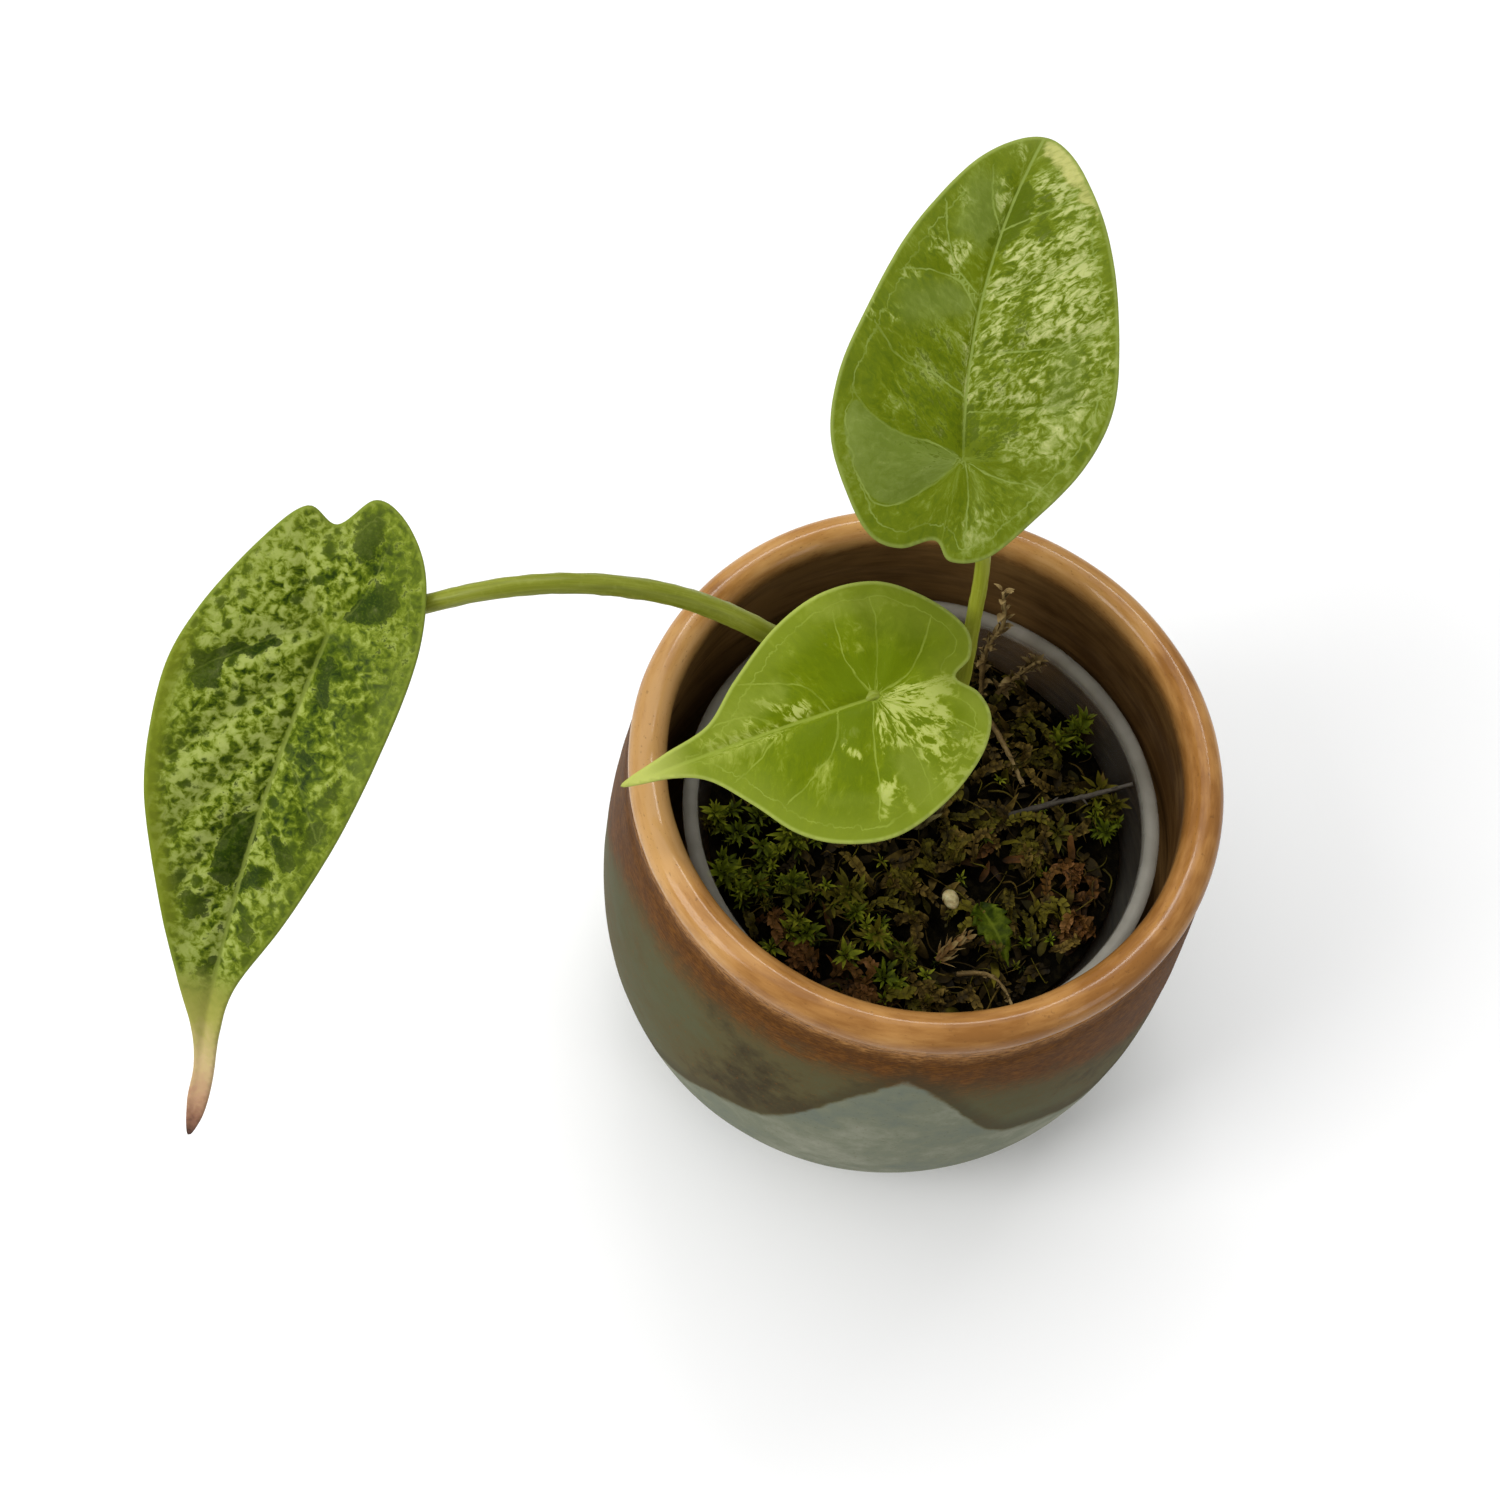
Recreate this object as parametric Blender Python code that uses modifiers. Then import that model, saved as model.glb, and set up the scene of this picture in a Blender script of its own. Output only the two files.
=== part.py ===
"""Potted alocasia: three leaves growing from moss in a clear liner cup, inside a small glazed pot.

Metres, +Z up. The origin is the middle of the pot's flat base, and the pot's axis is Z.
The front, where the lowest stretch of rim is seen from above, is towards -Y.
"""

from math import cos, pi, radians, sin, sqrt

import bmesh
import bpy
from mathutils import Vector
from mathutils.bvhtree import BVHTree
from mathutils.geometry import delaunay_2d_cdt, intersect_point_line

MM = 0.001
GAP = 0.3 * MM                 # left between pieces that touch
ON_AXIS = 0.01 * MM            # merge distance of turned profiles at the axis

# ---- pot, (radius, height) in mm down the outer side; its belly is 80 mm across
POT_OUTER = [(37.3, 60.0), (38.4, 51.0), (39.5, 41.0), (40.0, 30.0), (39.2, 19.0), (37.0, 10.5),
             (32.6, 3.8), (28.0, 0.9), (23.2, 0.0)]
POT_FLOOR = 5.0                # top of the floor inside
POT_INNER = [(25.8, POT_FLOOR), (30.6, 7.0), (33.6, 12.0), (35.4, 20.0), (36.1, 30.0), (35.5, 41.0),
             (34.1, 51.0), (32.7, 60.0)]
LIP_RADIUS = 34.2              # middle of the rolled lip
LIP_HEIGHT = 69.1              # top of the lip
LIP_ROLL = 2.35                # half of the lip's thickness
LIP_STEPS = 6
POT_STEPS = 44

# ---- liner cup, mm; it stands on the pot's floor, pushed a little to one side
CUP_CENTRE = (1.2, 1.9)
CUP_FLOOR = 5.3                # underside of the cup, just clear of the pot's floor
CUP_TOP = 51.7
CUP_RADIUS = 31.3              # outside of the rolled rim
CUP_RIM = 2.0                  # width of the rolled rim
CUP_WALL = 0.8
CUP_BOTTOM_RADIUS = 22.6
CUP_CORNER = 1.5               # rounding where the wall meets the floor
CUP_RIM_TURN = (200, -60)      # the rim's roll in degrees, from inside over the top to below
CUP_RIM_STEPS = 8
CUP_STEPS = 40
DRAIN_COUNT = 5
DRAIN_RADIUS = 2.6
DRAIN_CIRCLE = 13.5
DRAIN_SIDES = 10
DRAIN_CUTTER = 4.8             # length of the cutters, which pass right through the floor

# ---- moss bed, mm
BED_TOP = 44.0
BED_RINGS = 5
BED_SEGMENTS = 36
BED_BUMP = 0.8                 # height of the swells on its top
BED_CROWN = 1.2                # how far its middle stands above its edge
BED_SIDE_GAP = 0.4             # left between it and the cup's wall
BED_UNDER_GAP = 1.6            # left between it and the cup's floor, above the rounded corner
LOOK_DOWN_FROM = 90.0          # height from which its surface is felt for
TAPS = 8                       # places felt in a ring about a point

# ---- crown, mm: the short stem that all three leaf stalks leave
CROWN_PLACE = (-1.2, 4.4)
CROWN_RADIUS = 4.8
CROWN_HEIGHT = 4.0
CROWN_STEPS = 16
CROWN_FILLET = 0.8
CROWN_FOOT = 1.2
CROWN_TOP_SHARE = 0.7
CROWN_EDGE_SHARE = 0.9

# ---- leaf blades, mm. junction is where the stalk meets the blade, tip the end of the drip tip.
# fold lifts the two halves from the midrib, arch bows the midrib upwards, bow bends it sideways.
# outline: (along, across) in the flat blade, from the notch round one lobe, the tip and the other lobe.
BLADE_THICKNESS = 0.5
BLADE_GRID = 3.0               # spacing of the points that carry the blade's fold and arch
BLADE_MARGIN = 1.2             # these points stay this far inside the outline
OUTLINE_SPANS = 2
INSIDE_ONLY = 1                # the triangulation keeps only the faces within the outline
SAME_PLACE = 0.003             # flat points nearer than this are one
FOLD_ROUNDING = 1.5
BLADES = {
    "blade_tall": {
        "junction": (-7.0, 20.0, 100.0), "tip": (-10.0, 55.0, 115.0),
        "roll": 5.0, "fold": 0.18, "arch": 2.0, "bow": 2.3,
        "outline": [(-9.0, 1.0), (-10.7, 4.5), (-10.3, 8.0), (-7.0, 11.3), (-1.0, 14.8), (6.0, 15.5),
                    (14.5, 14.0), (22.5, 12.0), (29.5, 9.0), (34.5, 5.5), (37.6, 0.8), (36.2, -3.0),
                    (31.0, -7.1), (24.5, -10.5), (15.8, -13.3), (8.0, -14.6), (1.5, -13.1), (-4.5, -9.4),
                    (-9.6, -5.2), (-10.8, -1.2)],
    },
    "blade_young": {
        "junction": (-8.0, -2.0, 82.0), "tip": (-32.0, -20.0, 75.0),
        "roll": 14.0, "fold": 0.12, "arch": 2.0, "bow": 0.0,
        "outline": [(-9.6, 0.4), (-11.6, 3.0), (-11.8, 6.5), (-9.0, 10.4), (-3.5, 14.1), (3.0, 16.1),
                    (8.8, 15.1), (13.5, 12.2), (17.2, 7.4), (21.0, 3.0), (25.0, 1.1), (31.0, -0.3),
                    (25.0, -1.8), (19.2, -3.1), (14.5, -6.9), (8.4, -11.0), (2.0, -13.2), (-4.6, -12.8),
                    (-9.7, -9.4), (-12.9, -4.9), (-12.2, -1.5)],
    },
    "blade_old": {
        "junction": (-65.0, -22.0, 93.0), "tip": (-64.0, -71.0, 62.0),
        "roll": 14.0, "fold": 0.36, "arch": 4.0, "bow": -1.7,
        "outline": [(-11.3, -2.5), (-14.9, 0.5), (-14.2, 3.8), (-10.8, 7.2), (-6.0, 9.1), (0.5, 9.8),
                    (9.5, 9.0), (20.0, 7.2), (30.5, 4.2), (39.3, 0.9), (45.0, 0.5), (51.0, 1.1),
                    (55.5, 1.0), (58.0, 0.0), (54.0, -1.0), (49.4, -1.3), (45.0, -2.6), (40.0, -5.0),
                    (31.2, -8.9), (19.5, -13.2), (8.4, -14.6), (0.8, -13.2), (-7.9, -9.3), (-12.4, -6.0)],
    },
}

# ---- leaf stalks, mm: radius at the base and at the blade, the place of the foot on the crown, the points
# above it, and how far the last point lies under the middle plane of the blade
STALKS = {
    "petiole_old": {
        "blade": "blade_old", "radii": (1.5, 1.0), "below": 1.7,
        "foot": (-2.8, 4.4),
        "points": [(-5.8, 4.8, 59.0), (-12.8, 4.5, 71.0), (-22.0, 1.9, 81.0), (-30.2, -0.6, 87.3),
                   (-37.3, -4.2, 92.0), (-43.8, -8.3, 95.2), (-50.3, -12.1, 95.8), (-56.6, -14.9, 93.4)],
    },
    "petiole_tall": {
        "blade": "blade_tall", "radii": (1.2, 0.75), "below": 1.4,
        "foot": (0.6, 5.4),
        "points": [(1.2, 8.2, 59.0), (0.8, 11.2, 69.0), (-0.2, 13.7, 78.0), (-1.3, 15.7, 88.0),
                   (-3.2, 17.6, 94.0)],
    },
    "petiole_young": {
        "blade": "blade_young", "radii": (1.1, 0.8), "below": 0.85,
        "foot": (-0.8, 2.2),
        "points": [(-1.9, 0.3, 59.0), (-5.0, -1.7, 70.0)],
    },
}
UPRIGHT_FOOT = 4.0             # each stalk leaves the crown straight up for this far
STALK_SPANS = 3

# ---- green shoots of living moss: (x, y, radius, height) in mm
GREEN_SHOOTS = [(-22.8, -7.9, 2.2, 2.6), (-18.2, -13.4, 2.9, 3.2), (-13.3, -14.4, 1.9, 3.0),
                (-9.2, -12.6, 2.2, 2.8), (-3.3, -12.2, 2.9, 3.4), (1.8, -14.6, 2.5, 3.0),
                (-13.0, -7.6, 3.0, 2.4), (5.4, -18.4, 2.4, 2.6), (24.6, 11.0, 2.4, 2.8),
                (17.6, 21.6, 2.3, 2.6)]
# ---- matted brown moss: (x, y, radius, height) in mm
BROWN_TUFTS = [(6.8, 0.2, 2.8, 2.4), (17.0, 2.4, 3.0, 2.6), (22.6, 2.0, 2.4, 3.0),
               (26.0, -4.6, 2.2, 2.2), (-7.0, -21.2, 3.4, 2.6), (2.0, -23.6, 2.4, 2.4),
               (10.2, -20.4, 2.4, 2.4), (1.8, -7.2, 3.0, 2.6)]
SHOOT_POINTS = 5
TUFT_POINTS = 7
STAR_WAIST = 0.55              # inner radius of a star, as a share of its outer radius
STAR_TOP = 0.35

# ---- dry strands: radius and points (x, y, height above the bed) in mm
STRANDS = {
    "dry_sprig_tall": (0.45, [(4.4, 22.4, 0.9), (3.2, 24.2, 5.0), (2.6, 25.6, 10.0), (3.6, 26.8, 15.0),
                              (2.2, 28.2, 20.5)]),
    "dry_sprig_low": (0.5, [(6.0, 24.6, 1.0), (7.6, 26.0, 4.6), (9.6, 27.2, 8.2)]),
    "dry_strand": (0.4, [(5.0, 20.6, 1.4), (7.2, 18.4, 2.4), (9.2, 16.2, 2.6), (10.8, 14.6, 2.2),
                         (13.0, 12.4, 1.0)]),
    "twig": (0.35, [(12.2, 6.6, 1.1), (17.0, 9.6, 3.0), (22.0, 12.4, 4.6), (26.6, 15.0, 6.2)]),
    "curled_strand": (0.4, [(12.4, -16.6, 1.0), (14.6, -16.0, 2.1), (16.8, -15.8, 2.1), (18.8, -16.6, 1.4),
                            (20.2, -18.0, 1.0)]),
}
STRAND_SPANS = 3
STRAND_TAPER = 0.6             # radius at the free end, as a share of the radius at the foot

# ---- tan bud scales, serrated leaflet and seed, mm
BUD_PLACE = (11.2, -13.4)
BUD_LENGTH = 4.6
BUD_RADIUS = 0.9
BUD_SKEW = (-1.2, 1.4)         # sideways places of its two ends
BUD_LIFT = 0.8                 # how far its tip stands above its foot
LEAFLET_BASE = (12.6, -7.0)
LEAFLET_TIP = (18.4, -13.4)
LEAFLET_HALF_WIDTHS = [0.9, 2.3, 1.9, 2.7, 2.1, 2.2, 1.4, 1.3, 0.5]
LEAFLET_THICKNESS = 0.5
LEAFLET_RISE = 1.6
LEAFLET_CUP = 0.3              # lift of the edges, as a share of the half width
SEED_PLACE = (8.7, -7.4)
SEED_LENGTH = 2.8
SEED_WIDTH = 2.0

COLOURS = {                    # red, green, blue, roughness
    "glazed_pot": (0.30, 0.17, 0.07, 0.15),
    "clear_plastic": (0.45, 0.46, 0.47, 0.25),
    "moss_soil": (0.03, 0.03, 0.015, 0.9),
    "green_moss": (0.08, 0.16, 0.02, 0.8),
    "brown_moss": (0.12, 0.08, 0.03, 0.85),
    "stalk": (0.22, 0.35, 0.06, 0.4),
    "leaf_old": (0.16, 0.24, 0.05, 0.4),
    "leaf_tall": (0.15, 0.28, 0.05, 0.4),
    "leaf_young": (0.26, 0.42, 0.04, 0.4),
    "dry_moss": (0.42, 0.30, 0.13, 0.8),
    "twig": (0.16, 0.13, 0.10, 0.8),
    "seed": (0.70, 0.60, 0.38, 0.6),
}


def clear_scene():
    for thing in list(bpy.data.objects):
        bpy.data.objects.remove(thing, do_unlink=True)


def new_collection(name, helper=False):
    made = bpy.data.collections.new(name)
    made.hide_render = helper
    bpy.context.scene.collection.children.link(made)
    return made


def material(name):
    red, green, blue, roughness = COLOURS[name]
    made = bpy.data.materials.new(name)
    made.use_nodes = True
    shader = made.node_tree.nodes["Principled BSDF"]
    shader.inputs["Base Color"].default_value = (red, green, blue, 1)
    shader.inputs["Roughness"].default_value = roughness
    shader.inputs["Metallic"].default_value = 0
    return made


def add_object(name, data, slot, collection):
    made = bpy.data.objects.new(name, data)
    data.materials.append(bpy.data.materials.get(slot) or material(slot))
    collection.objects.link(made)
    return made


def mesh_from(bm, name):
    bmesh.ops.recalc_face_normals(bm, faces=bm.faces)
    data = bpy.data.meshes.new(name)
    bm.to_mesh(data)
    bm.free()
    data.shade_smooth()
    return data


def catmull_rom(points, spans, closed=False):
    """Points along a smooth curve through the given ones, with so many steps between each two."""
    points = [Vector(p) for p in points]
    count = len(points)
    found = []
    for i in range(count if closed else count - 1):
        if closed:
            before, here, there, after = (points[(i + k) % count] for k in (-1, 0, 1, 2))
        else:
            before, here = points[max(i - 1, 0)], points[i]
            there, after = points[i + 1], points[min(i + 2, count - 1)]
        for step in range(spans):
            t = step / spans
            found.append(0.5 * (2 * here + (there - before) * t
                                + (2 * before - 5 * here + 4 * there - after) * t ** 2
                                + (3 * here - before - 3 * there + after) * t ** 3))
    return found if closed else found + [points[-1]]


def turned(name, profile, steps, slot, collection, centre=(0, 0)):
    """A solid of revolution from a closed profile of (radius, height) in mm that runs down its outer side."""
    data = bpy.data.meshes.new(name)
    edges = [(i, (i + 1) % len(profile)) for i in range(len(profile))]
    if profile[0][0] == 0 and profile[-1][0] == 0:
        edges.pop()            # both ends are on the axis, which closes it
    data.from_pydata([(r * MM, 0, z * MM) for r, z in profile], edges, [])
    made = add_object(name, data, slot, collection)
    made.location = (centre[0] * MM, centre[1] * MM, 0)
    screw = made.modifiers.new("turn", "SCREW")
    screw.steps = steps
    screw.render_steps = steps
    screw.use_merge_vertices = True
    screw.merge_threshold = ON_AXIS
    screw.use_smooth_shade = True
    return made


def arc(middle, radius, start, end, count):
    """Points (radius, height) on an arc about middle, from one angle to the other in degrees."""
    angles = [radians(start + (end - start) * i / count) for i in range(count + 1)]
    return [(middle[0] + radius * cos(a), middle[1] + radius * sin(a)) for a in angles]


def pot(collection):
    lip = arc((LIP_RADIUS, LIP_HEIGHT - LIP_ROLL), LIP_ROLL, 180, 0, LIP_STEPS)
    profile = [(0, POT_FLOOR)] + POT_INNER + lip + POT_OUTER + [(0, 0)]
    return turned("ceramic_pot", profile, POT_STEPS, "glazed_pot", collection)


def cup_radius(height):
    """Outer radius of the cup's tapering wall at a height, both in mm."""
    share = (height - CUP_FLOOR) / (CUP_TOP - CUP_FLOOR)
    return CUP_BOTTOM_RADIUS + (CUP_RADIUS - CUP_RIM / 2 - CUP_BOTTOM_RADIUS) * share


def liner_cup(collection, cutters):
    half = CUP_RIM / 2
    rim = arc((CUP_RADIUS - half, CUP_TOP - half), half, *CUP_RIM_TURN, CUP_RIM_STEPS)
    inside_floor = CUP_FLOOR + CUP_WALL
    inside_corner = inside_floor + CUP_CORNER
    outside_corner = CUP_FLOOR + CUP_CORNER
    wall_top = CUP_TOP - CUP_RIM
    profile = [(0, inside_floor), (cup_radius(inside_floor) - CUP_WALL - CUP_CORNER, inside_floor),
               (cup_radius(inside_corner) - CUP_WALL, inside_corner),
               (cup_radius(wall_top) - CUP_WALL, wall_top)]
    profile += rim
    profile += [(cup_radius(wall_top), wall_top), (cup_radius(outside_corner), outside_corner),
                (CUP_BOTTOM_RADIUS - CUP_CORNER, CUP_FLOOR), (0, CUP_FLOOR)]
    cup = turned("liner_cup", profile, CUP_STEPS, "clear_plastic", collection, CUP_CENTRE)
    for i in range(DRAIN_COUNT):
        angle = 2 * pi * (i + 0.5) / DRAIN_COUNT
        name = f"drain_cutter_{i + 1}"
        bm = bmesh.new()
        bmesh.ops.create_cone(bm, cap_ends=True, segments=DRAIN_SIDES, radius1=DRAIN_RADIUS * MM,
                              radius2=DRAIN_RADIUS * MM, depth=DRAIN_CUTTER * MM)
        hole = add_object(name, mesh_from(bm, name), "clear_plastic", cutters)
        hole.location = ((CUP_CENTRE[0] + DRAIN_CIRCLE * cos(angle)) * MM,
                         (CUP_CENTRE[1] + DRAIN_CIRCLE * sin(angle)) * MM, CUP_FLOOR * MM)
        hole.hide_render = True
        hole.display_type = "WIRE"
        cut = cup.modifiers.new(f"drain_{i + 1}", "BOOLEAN")
        cut.object = hole
        cut.operation = "DIFFERENCE"
        cut.solver = "EXACT"
    return cup


def bed_swell(x, y):
    """How far the moss stands above its edge, in mm, at a place measured from the cup's axis."""
    inner = cup_radius(BED_TOP) - CUP_WALL
    fade = max(0.0, 1 - (x * x + y * y) / inner ** 2)
    waves = sin(0.21 * x + 0.6) * cos(0.19 * y - 0.4) + 0.6 * sin(0.13 * x - 0.25 * y)
    return fade * (BED_CROWN + BED_BUMP * waves)


def moss_bed(collection):
    low = CUP_FLOOR + CUP_WALL + BED_UNDER_GAP
    bm = bmesh.new()
    bottom = cup_radius(low) - CUP_WALL - BED_SIDE_GAP
    top = cup_radius(BED_TOP) - CUP_WALL - BED_SIDE_GAP
    bmesh.ops.create_cone(bm, cap_ends=True, segments=BED_SEGMENTS, radius1=bottom * MM, radius2=top * MM,
                          depth=(BED_TOP - low) * MM)
    lid = max(bm.faces, key=lambda f: f.calc_center_median().z)
    for _ in range(BED_RINGS - 1):
        bmesh.ops.inset_region(bm, faces=[lid], thickness=top / BED_RINGS * MM, use_even_offset=True)
    bmesh.ops.poke(bm, faces=[lid])
    for v in bm.verts:
        if v.co.z > 0:
            v.co.z += bed_swell(v.co.x / MM, v.co.y / MM) * MM
    middle = Vector((*CUP_CENTRE, (BED_TOP + low) / 2))
    bmesh.ops.translate(bm, verts=bm.verts, vec=middle * MM)
    bmesh.ops.triangulate(bm, faces=bm.faces)
    surface = BVHTree.FromBMesh(bm)
    return add_object("moss_bed", mesh_from(bm, "moss_bed"), "moss_soil", collection), surface


def bed_height(surface, x, y, reach=0.0):
    """The highest point of the moss within reach of a place, all in mm."""
    highest = BED_TOP
    for ring in (0, 0.5, 1.0):
        for i in range(TAPS if ring * reach else 1):
            angle = 2 * pi * i / TAPS
            out = ring * reach
            start = Vector((x + out * cos(angle), y + out * sin(angle), LOOK_DOWN_FROM)) * MM
            hit = surface.ray_cast(start, Vector((0, 0, -1)))[0]
            highest = max(highest, hit.z / MM if hit else BED_TOP)
    return highest


def crown(collection, surface):
    x, y = CROWN_PLACE
    low = bed_height(surface, x, y, CROWN_RADIUS) + GAP / MM
    top = low + CROWN_HEIGHT
    edge = CROWN_RADIUS * CROWN_EDGE_SHARE
    profile = [(0, top), (CROWN_RADIUS * CROWN_TOP_SHARE, top), (edge, top - CROWN_FILLET),
               (CROWN_RADIUS, low + CROWN_FOOT), (edge, low), (0, low)]
    made = turned("crown", profile, CROWN_STEPS, "stalk", collection, (x, y))
    return made, top


def blade_frame(blade):
    """The junction, the directions along, across and out of the blade, and its length, all in mm."""
    junction, tip = Vector(blade["junction"]), Vector(blade["tip"])
    length = (tip - junction).length
    along = (tip - junction) / length
    level = Vector((0, 0, 1)) - along * along.z
    level.normalize()
    side = level.cross(along)
    roll = radians(blade["roll"])
    out = level * cos(roll) + side * sin(roll)
    return junction, along, out.cross(along), out, length


def blade_point(blade, along, across):
    """The place in mm of a point of the blade's own plane once the blade is folded and arched."""
    junction, forward, side, out, length = blade_frame(blade)
    hump = 4 * along * (length - along) / length ** 2
    off = across - (blade["bow"] * hump if 0 < along < length else 0)
    lift = blade["fold"] * (sqrt(off * off + FOLD_ROUNDING ** 2) - FOLD_ROUNDING) + blade["arch"] * hump
    return junction + forward * along + side * across + out * lift


def well_inside(place, outline):
    """Whether a flat place lies inside an outline, and clear of its edge."""
    crossings = 0
    for one, two in zip(outline, outline[1:] + outline[:1]):
        share = intersect_point_line(place, one, two)[1]
        if (place - one.lerp(two, min(max(share, 0), 1))).length < BLADE_MARGIN:
            return False
        if (one.y > place.y) != (two.y > place.y):
            crossings += one.x + (place.y - one.y) / (two.y - one.y) * (two.x - one.x) > place.x
    return crossings % 2 == 1


def leaf_blade(name, collection):
    """A thin sheet of triangles inside the outline, folded and arched, then thickened."""
    blade = BLADES[name]
    outline = catmull_rom([(*place, 0) for place in blade["outline"]], OUTLINE_SPANS, closed=True)
    outline = [place.to_2d() for place in outline]
    reach = int(max(place.length for place in outline) / BLADE_GRID) + 1
    grid = [Vector((i, j)) * BLADE_GRID for i in range(-reach, reach + 1) for j in range(-reach, reach + 1)]
    places = outline + [place for place in grid if well_inside(place, outline)]
    border = list(range(len(outline)))
    flat, _, faces, *_ = delaunay_2d_cdt(places, [], [border], INSIDE_ONLY, SAME_PLACE)
    bm = bmesh.new()
    verts = [bm.verts.new(blade_point(blade, place.x, place.y) * MM) for place in flat]
    for face in faces:
        bm.faces.new([verts[i] for i in face])
    made = add_object(name, mesh_from(bm, name), "leaf_" + name.split("_")[1], collection)
    shell = made.modifiers.new("thickness", "SOLIDIFY")
    shell.thickness = BLADE_THICKNESS * MM
    shell.offset = 0
    return made


def tube(name, points, radii, slot, collection):
    """A round rod through points in mm, thinning evenly from the first radius to the last."""
    data = bpy.data.curves.new(name, "CURVE")
    data.dimensions = "3D"
    data.bevel_depth = MM
    data.bevel_resolution = 2
    data.use_fill_caps = True
    spline = data.splines.new("POLY")
    spline.points.add(len(points) - 1)
    for i, point in enumerate(points):
        spline.points[i].co = (*(Vector(point) * MM), 1)
        spline.points[i].radius = radii[0] + (radii[1] - radii[0]) * i / (len(points) - 1)
    spline.use_smooth = True
    return add_object(name, data, slot, collection)


def leaf_stalk(name, collection, crown_top):
    stalk = STALKS[name]
    blade = BLADES[stalk["blade"]]
    junction, _, _, out, _ = blade_frame(blade)
    foot = Vector((*stalk["foot"], crown_top + GAP / MM))
    upright = foot + Vector((0, 0, UPRIGHT_FOOT))
    route = [foot, upright] + stalk["points"] + [junction - out * stalk["below"]]
    return tube(name, catmull_rom(route, STALK_SPANS), stalk["radii"], "stalk", collection)


def star_tuft(name, place, points, slot, collection, surface):
    """A low star-shaped cushion that stands for one head of moss."""
    x, y, radius, height = place
    low = bed_height(surface, x, y, radius) + GAP / MM
    bm = bmesh.new()
    bmesh.ops.create_cone(bm, cap_ends=True, segments=2 * points, radius1=radius * MM,
                          radius2=radius * STAR_TOP * MM, depth=height * MM)
    bm.verts.ensure_lookup_table()
    base = [v for v in bm.verts if v.co.z < 0]
    base.sort(key=lambda v: v.co.to_2d().angle_signed(Vector((1, 0)), 0))
    for v in base[::2]:
        v.co.x *= STAR_WAIST
        v.co.y *= STAR_WAIST
    bmesh.ops.translate(bm, verts=bm.verts, vec=(x * MM, y * MM, (low + height / 2) * MM))
    return add_object(name, mesh_from(bm, name), slot, collection)


def strand(name, collection, surface):
    radius, route = STRANDS[name]
    points = [(x, y, bed_height(surface, x, y) + above) for x, y, above in route]
    slot = "twig" if name == "twig" else "dry_moss"
    route = catmull_rom(points, STRAND_SPANS)
    return tube(name, route, (radius, radius * STRAND_TAPER), slot, collection)


def bud_scales(collection, surface):
    x, y = BUD_PLACE
    low = bed_height(surface, x, y, BUD_LENGTH / 2) + GAP / MM + BUD_RADIUS
    start = Vector((x - BUD_LENGTH / 2, y + BUD_SKEW[0], low))
    end = Vector((x + BUD_LENGTH / 2, y + BUD_SKEW[1], low + BUD_LIFT))
    route = [start, (start + end) / 2, end]
    return tube("dry_bud", route, (BUD_RADIUS, BUD_RADIUS / 2), "dry_moss", collection)


def leaflet(collection, surface):
    """A small saw-edged leaf, as a loft between its left and right edge points."""
    base, tip = Vector((*LEAFLET_BASE, 0)), Vector((*LEAFLET_TIP, 0))
    forward = (tip - base).normalized()
    side = Vector((-forward.y, forward.x, 0))
    middle = (base + tip) / 2
    low = bed_height(surface, middle.x, middle.y, (tip - base).length / 2)
    low += GAP / MM + LEAFLET_THICKNESS
    bm = bmesh.new()
    rows = []
    last = len(LEAFLET_HALF_WIDTHS) - 1
    for i, half in enumerate(LEAFLET_HALF_WIDTHS):
        share = i / last
        centre = base.lerp(tip, share) + Vector((0, 0, low + LEAFLET_RISE * sin(pi * share)))
        edge = Vector((0, 0, LEAFLET_CUP * half))
        across = [centre - side * half + edge, centre, centre + side * half + edge]
        rows.append([bm.verts.new(place * MM) for place in across])
    for one, two in zip(rows, rows[1:]):
        for k in (0, 1):
            bm.faces.new((one[k], two[k], two[k + 1], one[k + 1]))
    made = add_object("green_leaflet", mesh_from(bm, "green_leaflet"), "green_moss", collection)
    shell = made.modifiers.new("thickness", "SOLIDIFY")
    shell.thickness = LEAFLET_THICKNESS * MM
    shell.offset = 0
    return made


def seed(collection, surface):
    x, y = SEED_PLACE
    low = bed_height(surface, x, y, SEED_LENGTH / 2) + GAP / MM
    bm = bmesh.new()
    bmesh.ops.create_uvsphere(bm, u_segments=12, v_segments=8, radius=0.5 * MM)
    bmesh.ops.scale(bm, verts=bm.verts, vec=(SEED_LENGTH, SEED_WIDTH, SEED_WIDTH))
    bmesh.ops.translate(bm, verts=bm.verts, vec=(x * MM, y * MM, (low + SEED_WIDTH / 2) * MM))
    return add_object("seed", mesh_from(bm, "seed"), "seed", collection)


def main():
    clear_scene()
    parts = new_collection("potted_alocasia")
    cutters = new_collection("cutters", helper=True)
    pot(parts)
    liner_cup(parts, cutters)
    _, surface = moss_bed(parts)
    _, crown_top = crown(parts, surface)
    for name in BLADES:
        leaf_blade(name, parts)
    for name in STALKS:
        leaf_stalk(name, parts, crown_top)
    for i, place in enumerate(GREEN_SHOOTS):
        star_tuft(f"green_shoot_{i + 1}", place, SHOOT_POINTS, "green_moss", parts, surface)
    for i, place in enumerate(BROWN_TUFTS):
        star_tuft(f"brown_tuft_{i + 1}", place, TUFT_POINTS, "brown_moss", parts, surface)
    for name in STRANDS:
        strand(name, parts, surface)
    bud_scales(parts, surface)
    leaflet(parts, surface)
    seed(parts, surface)


main()
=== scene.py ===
from math import atan2, cos, exp, hypot, pi, radians, sin, sqrt
from random import Random

import bmesh
import bpy
import numpy as np
from mathutils import Matrix, Vector, noise
from mathutils.bvhtree import BVHTree
from mathutils.geometry import delaunay_2d_cdt


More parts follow.
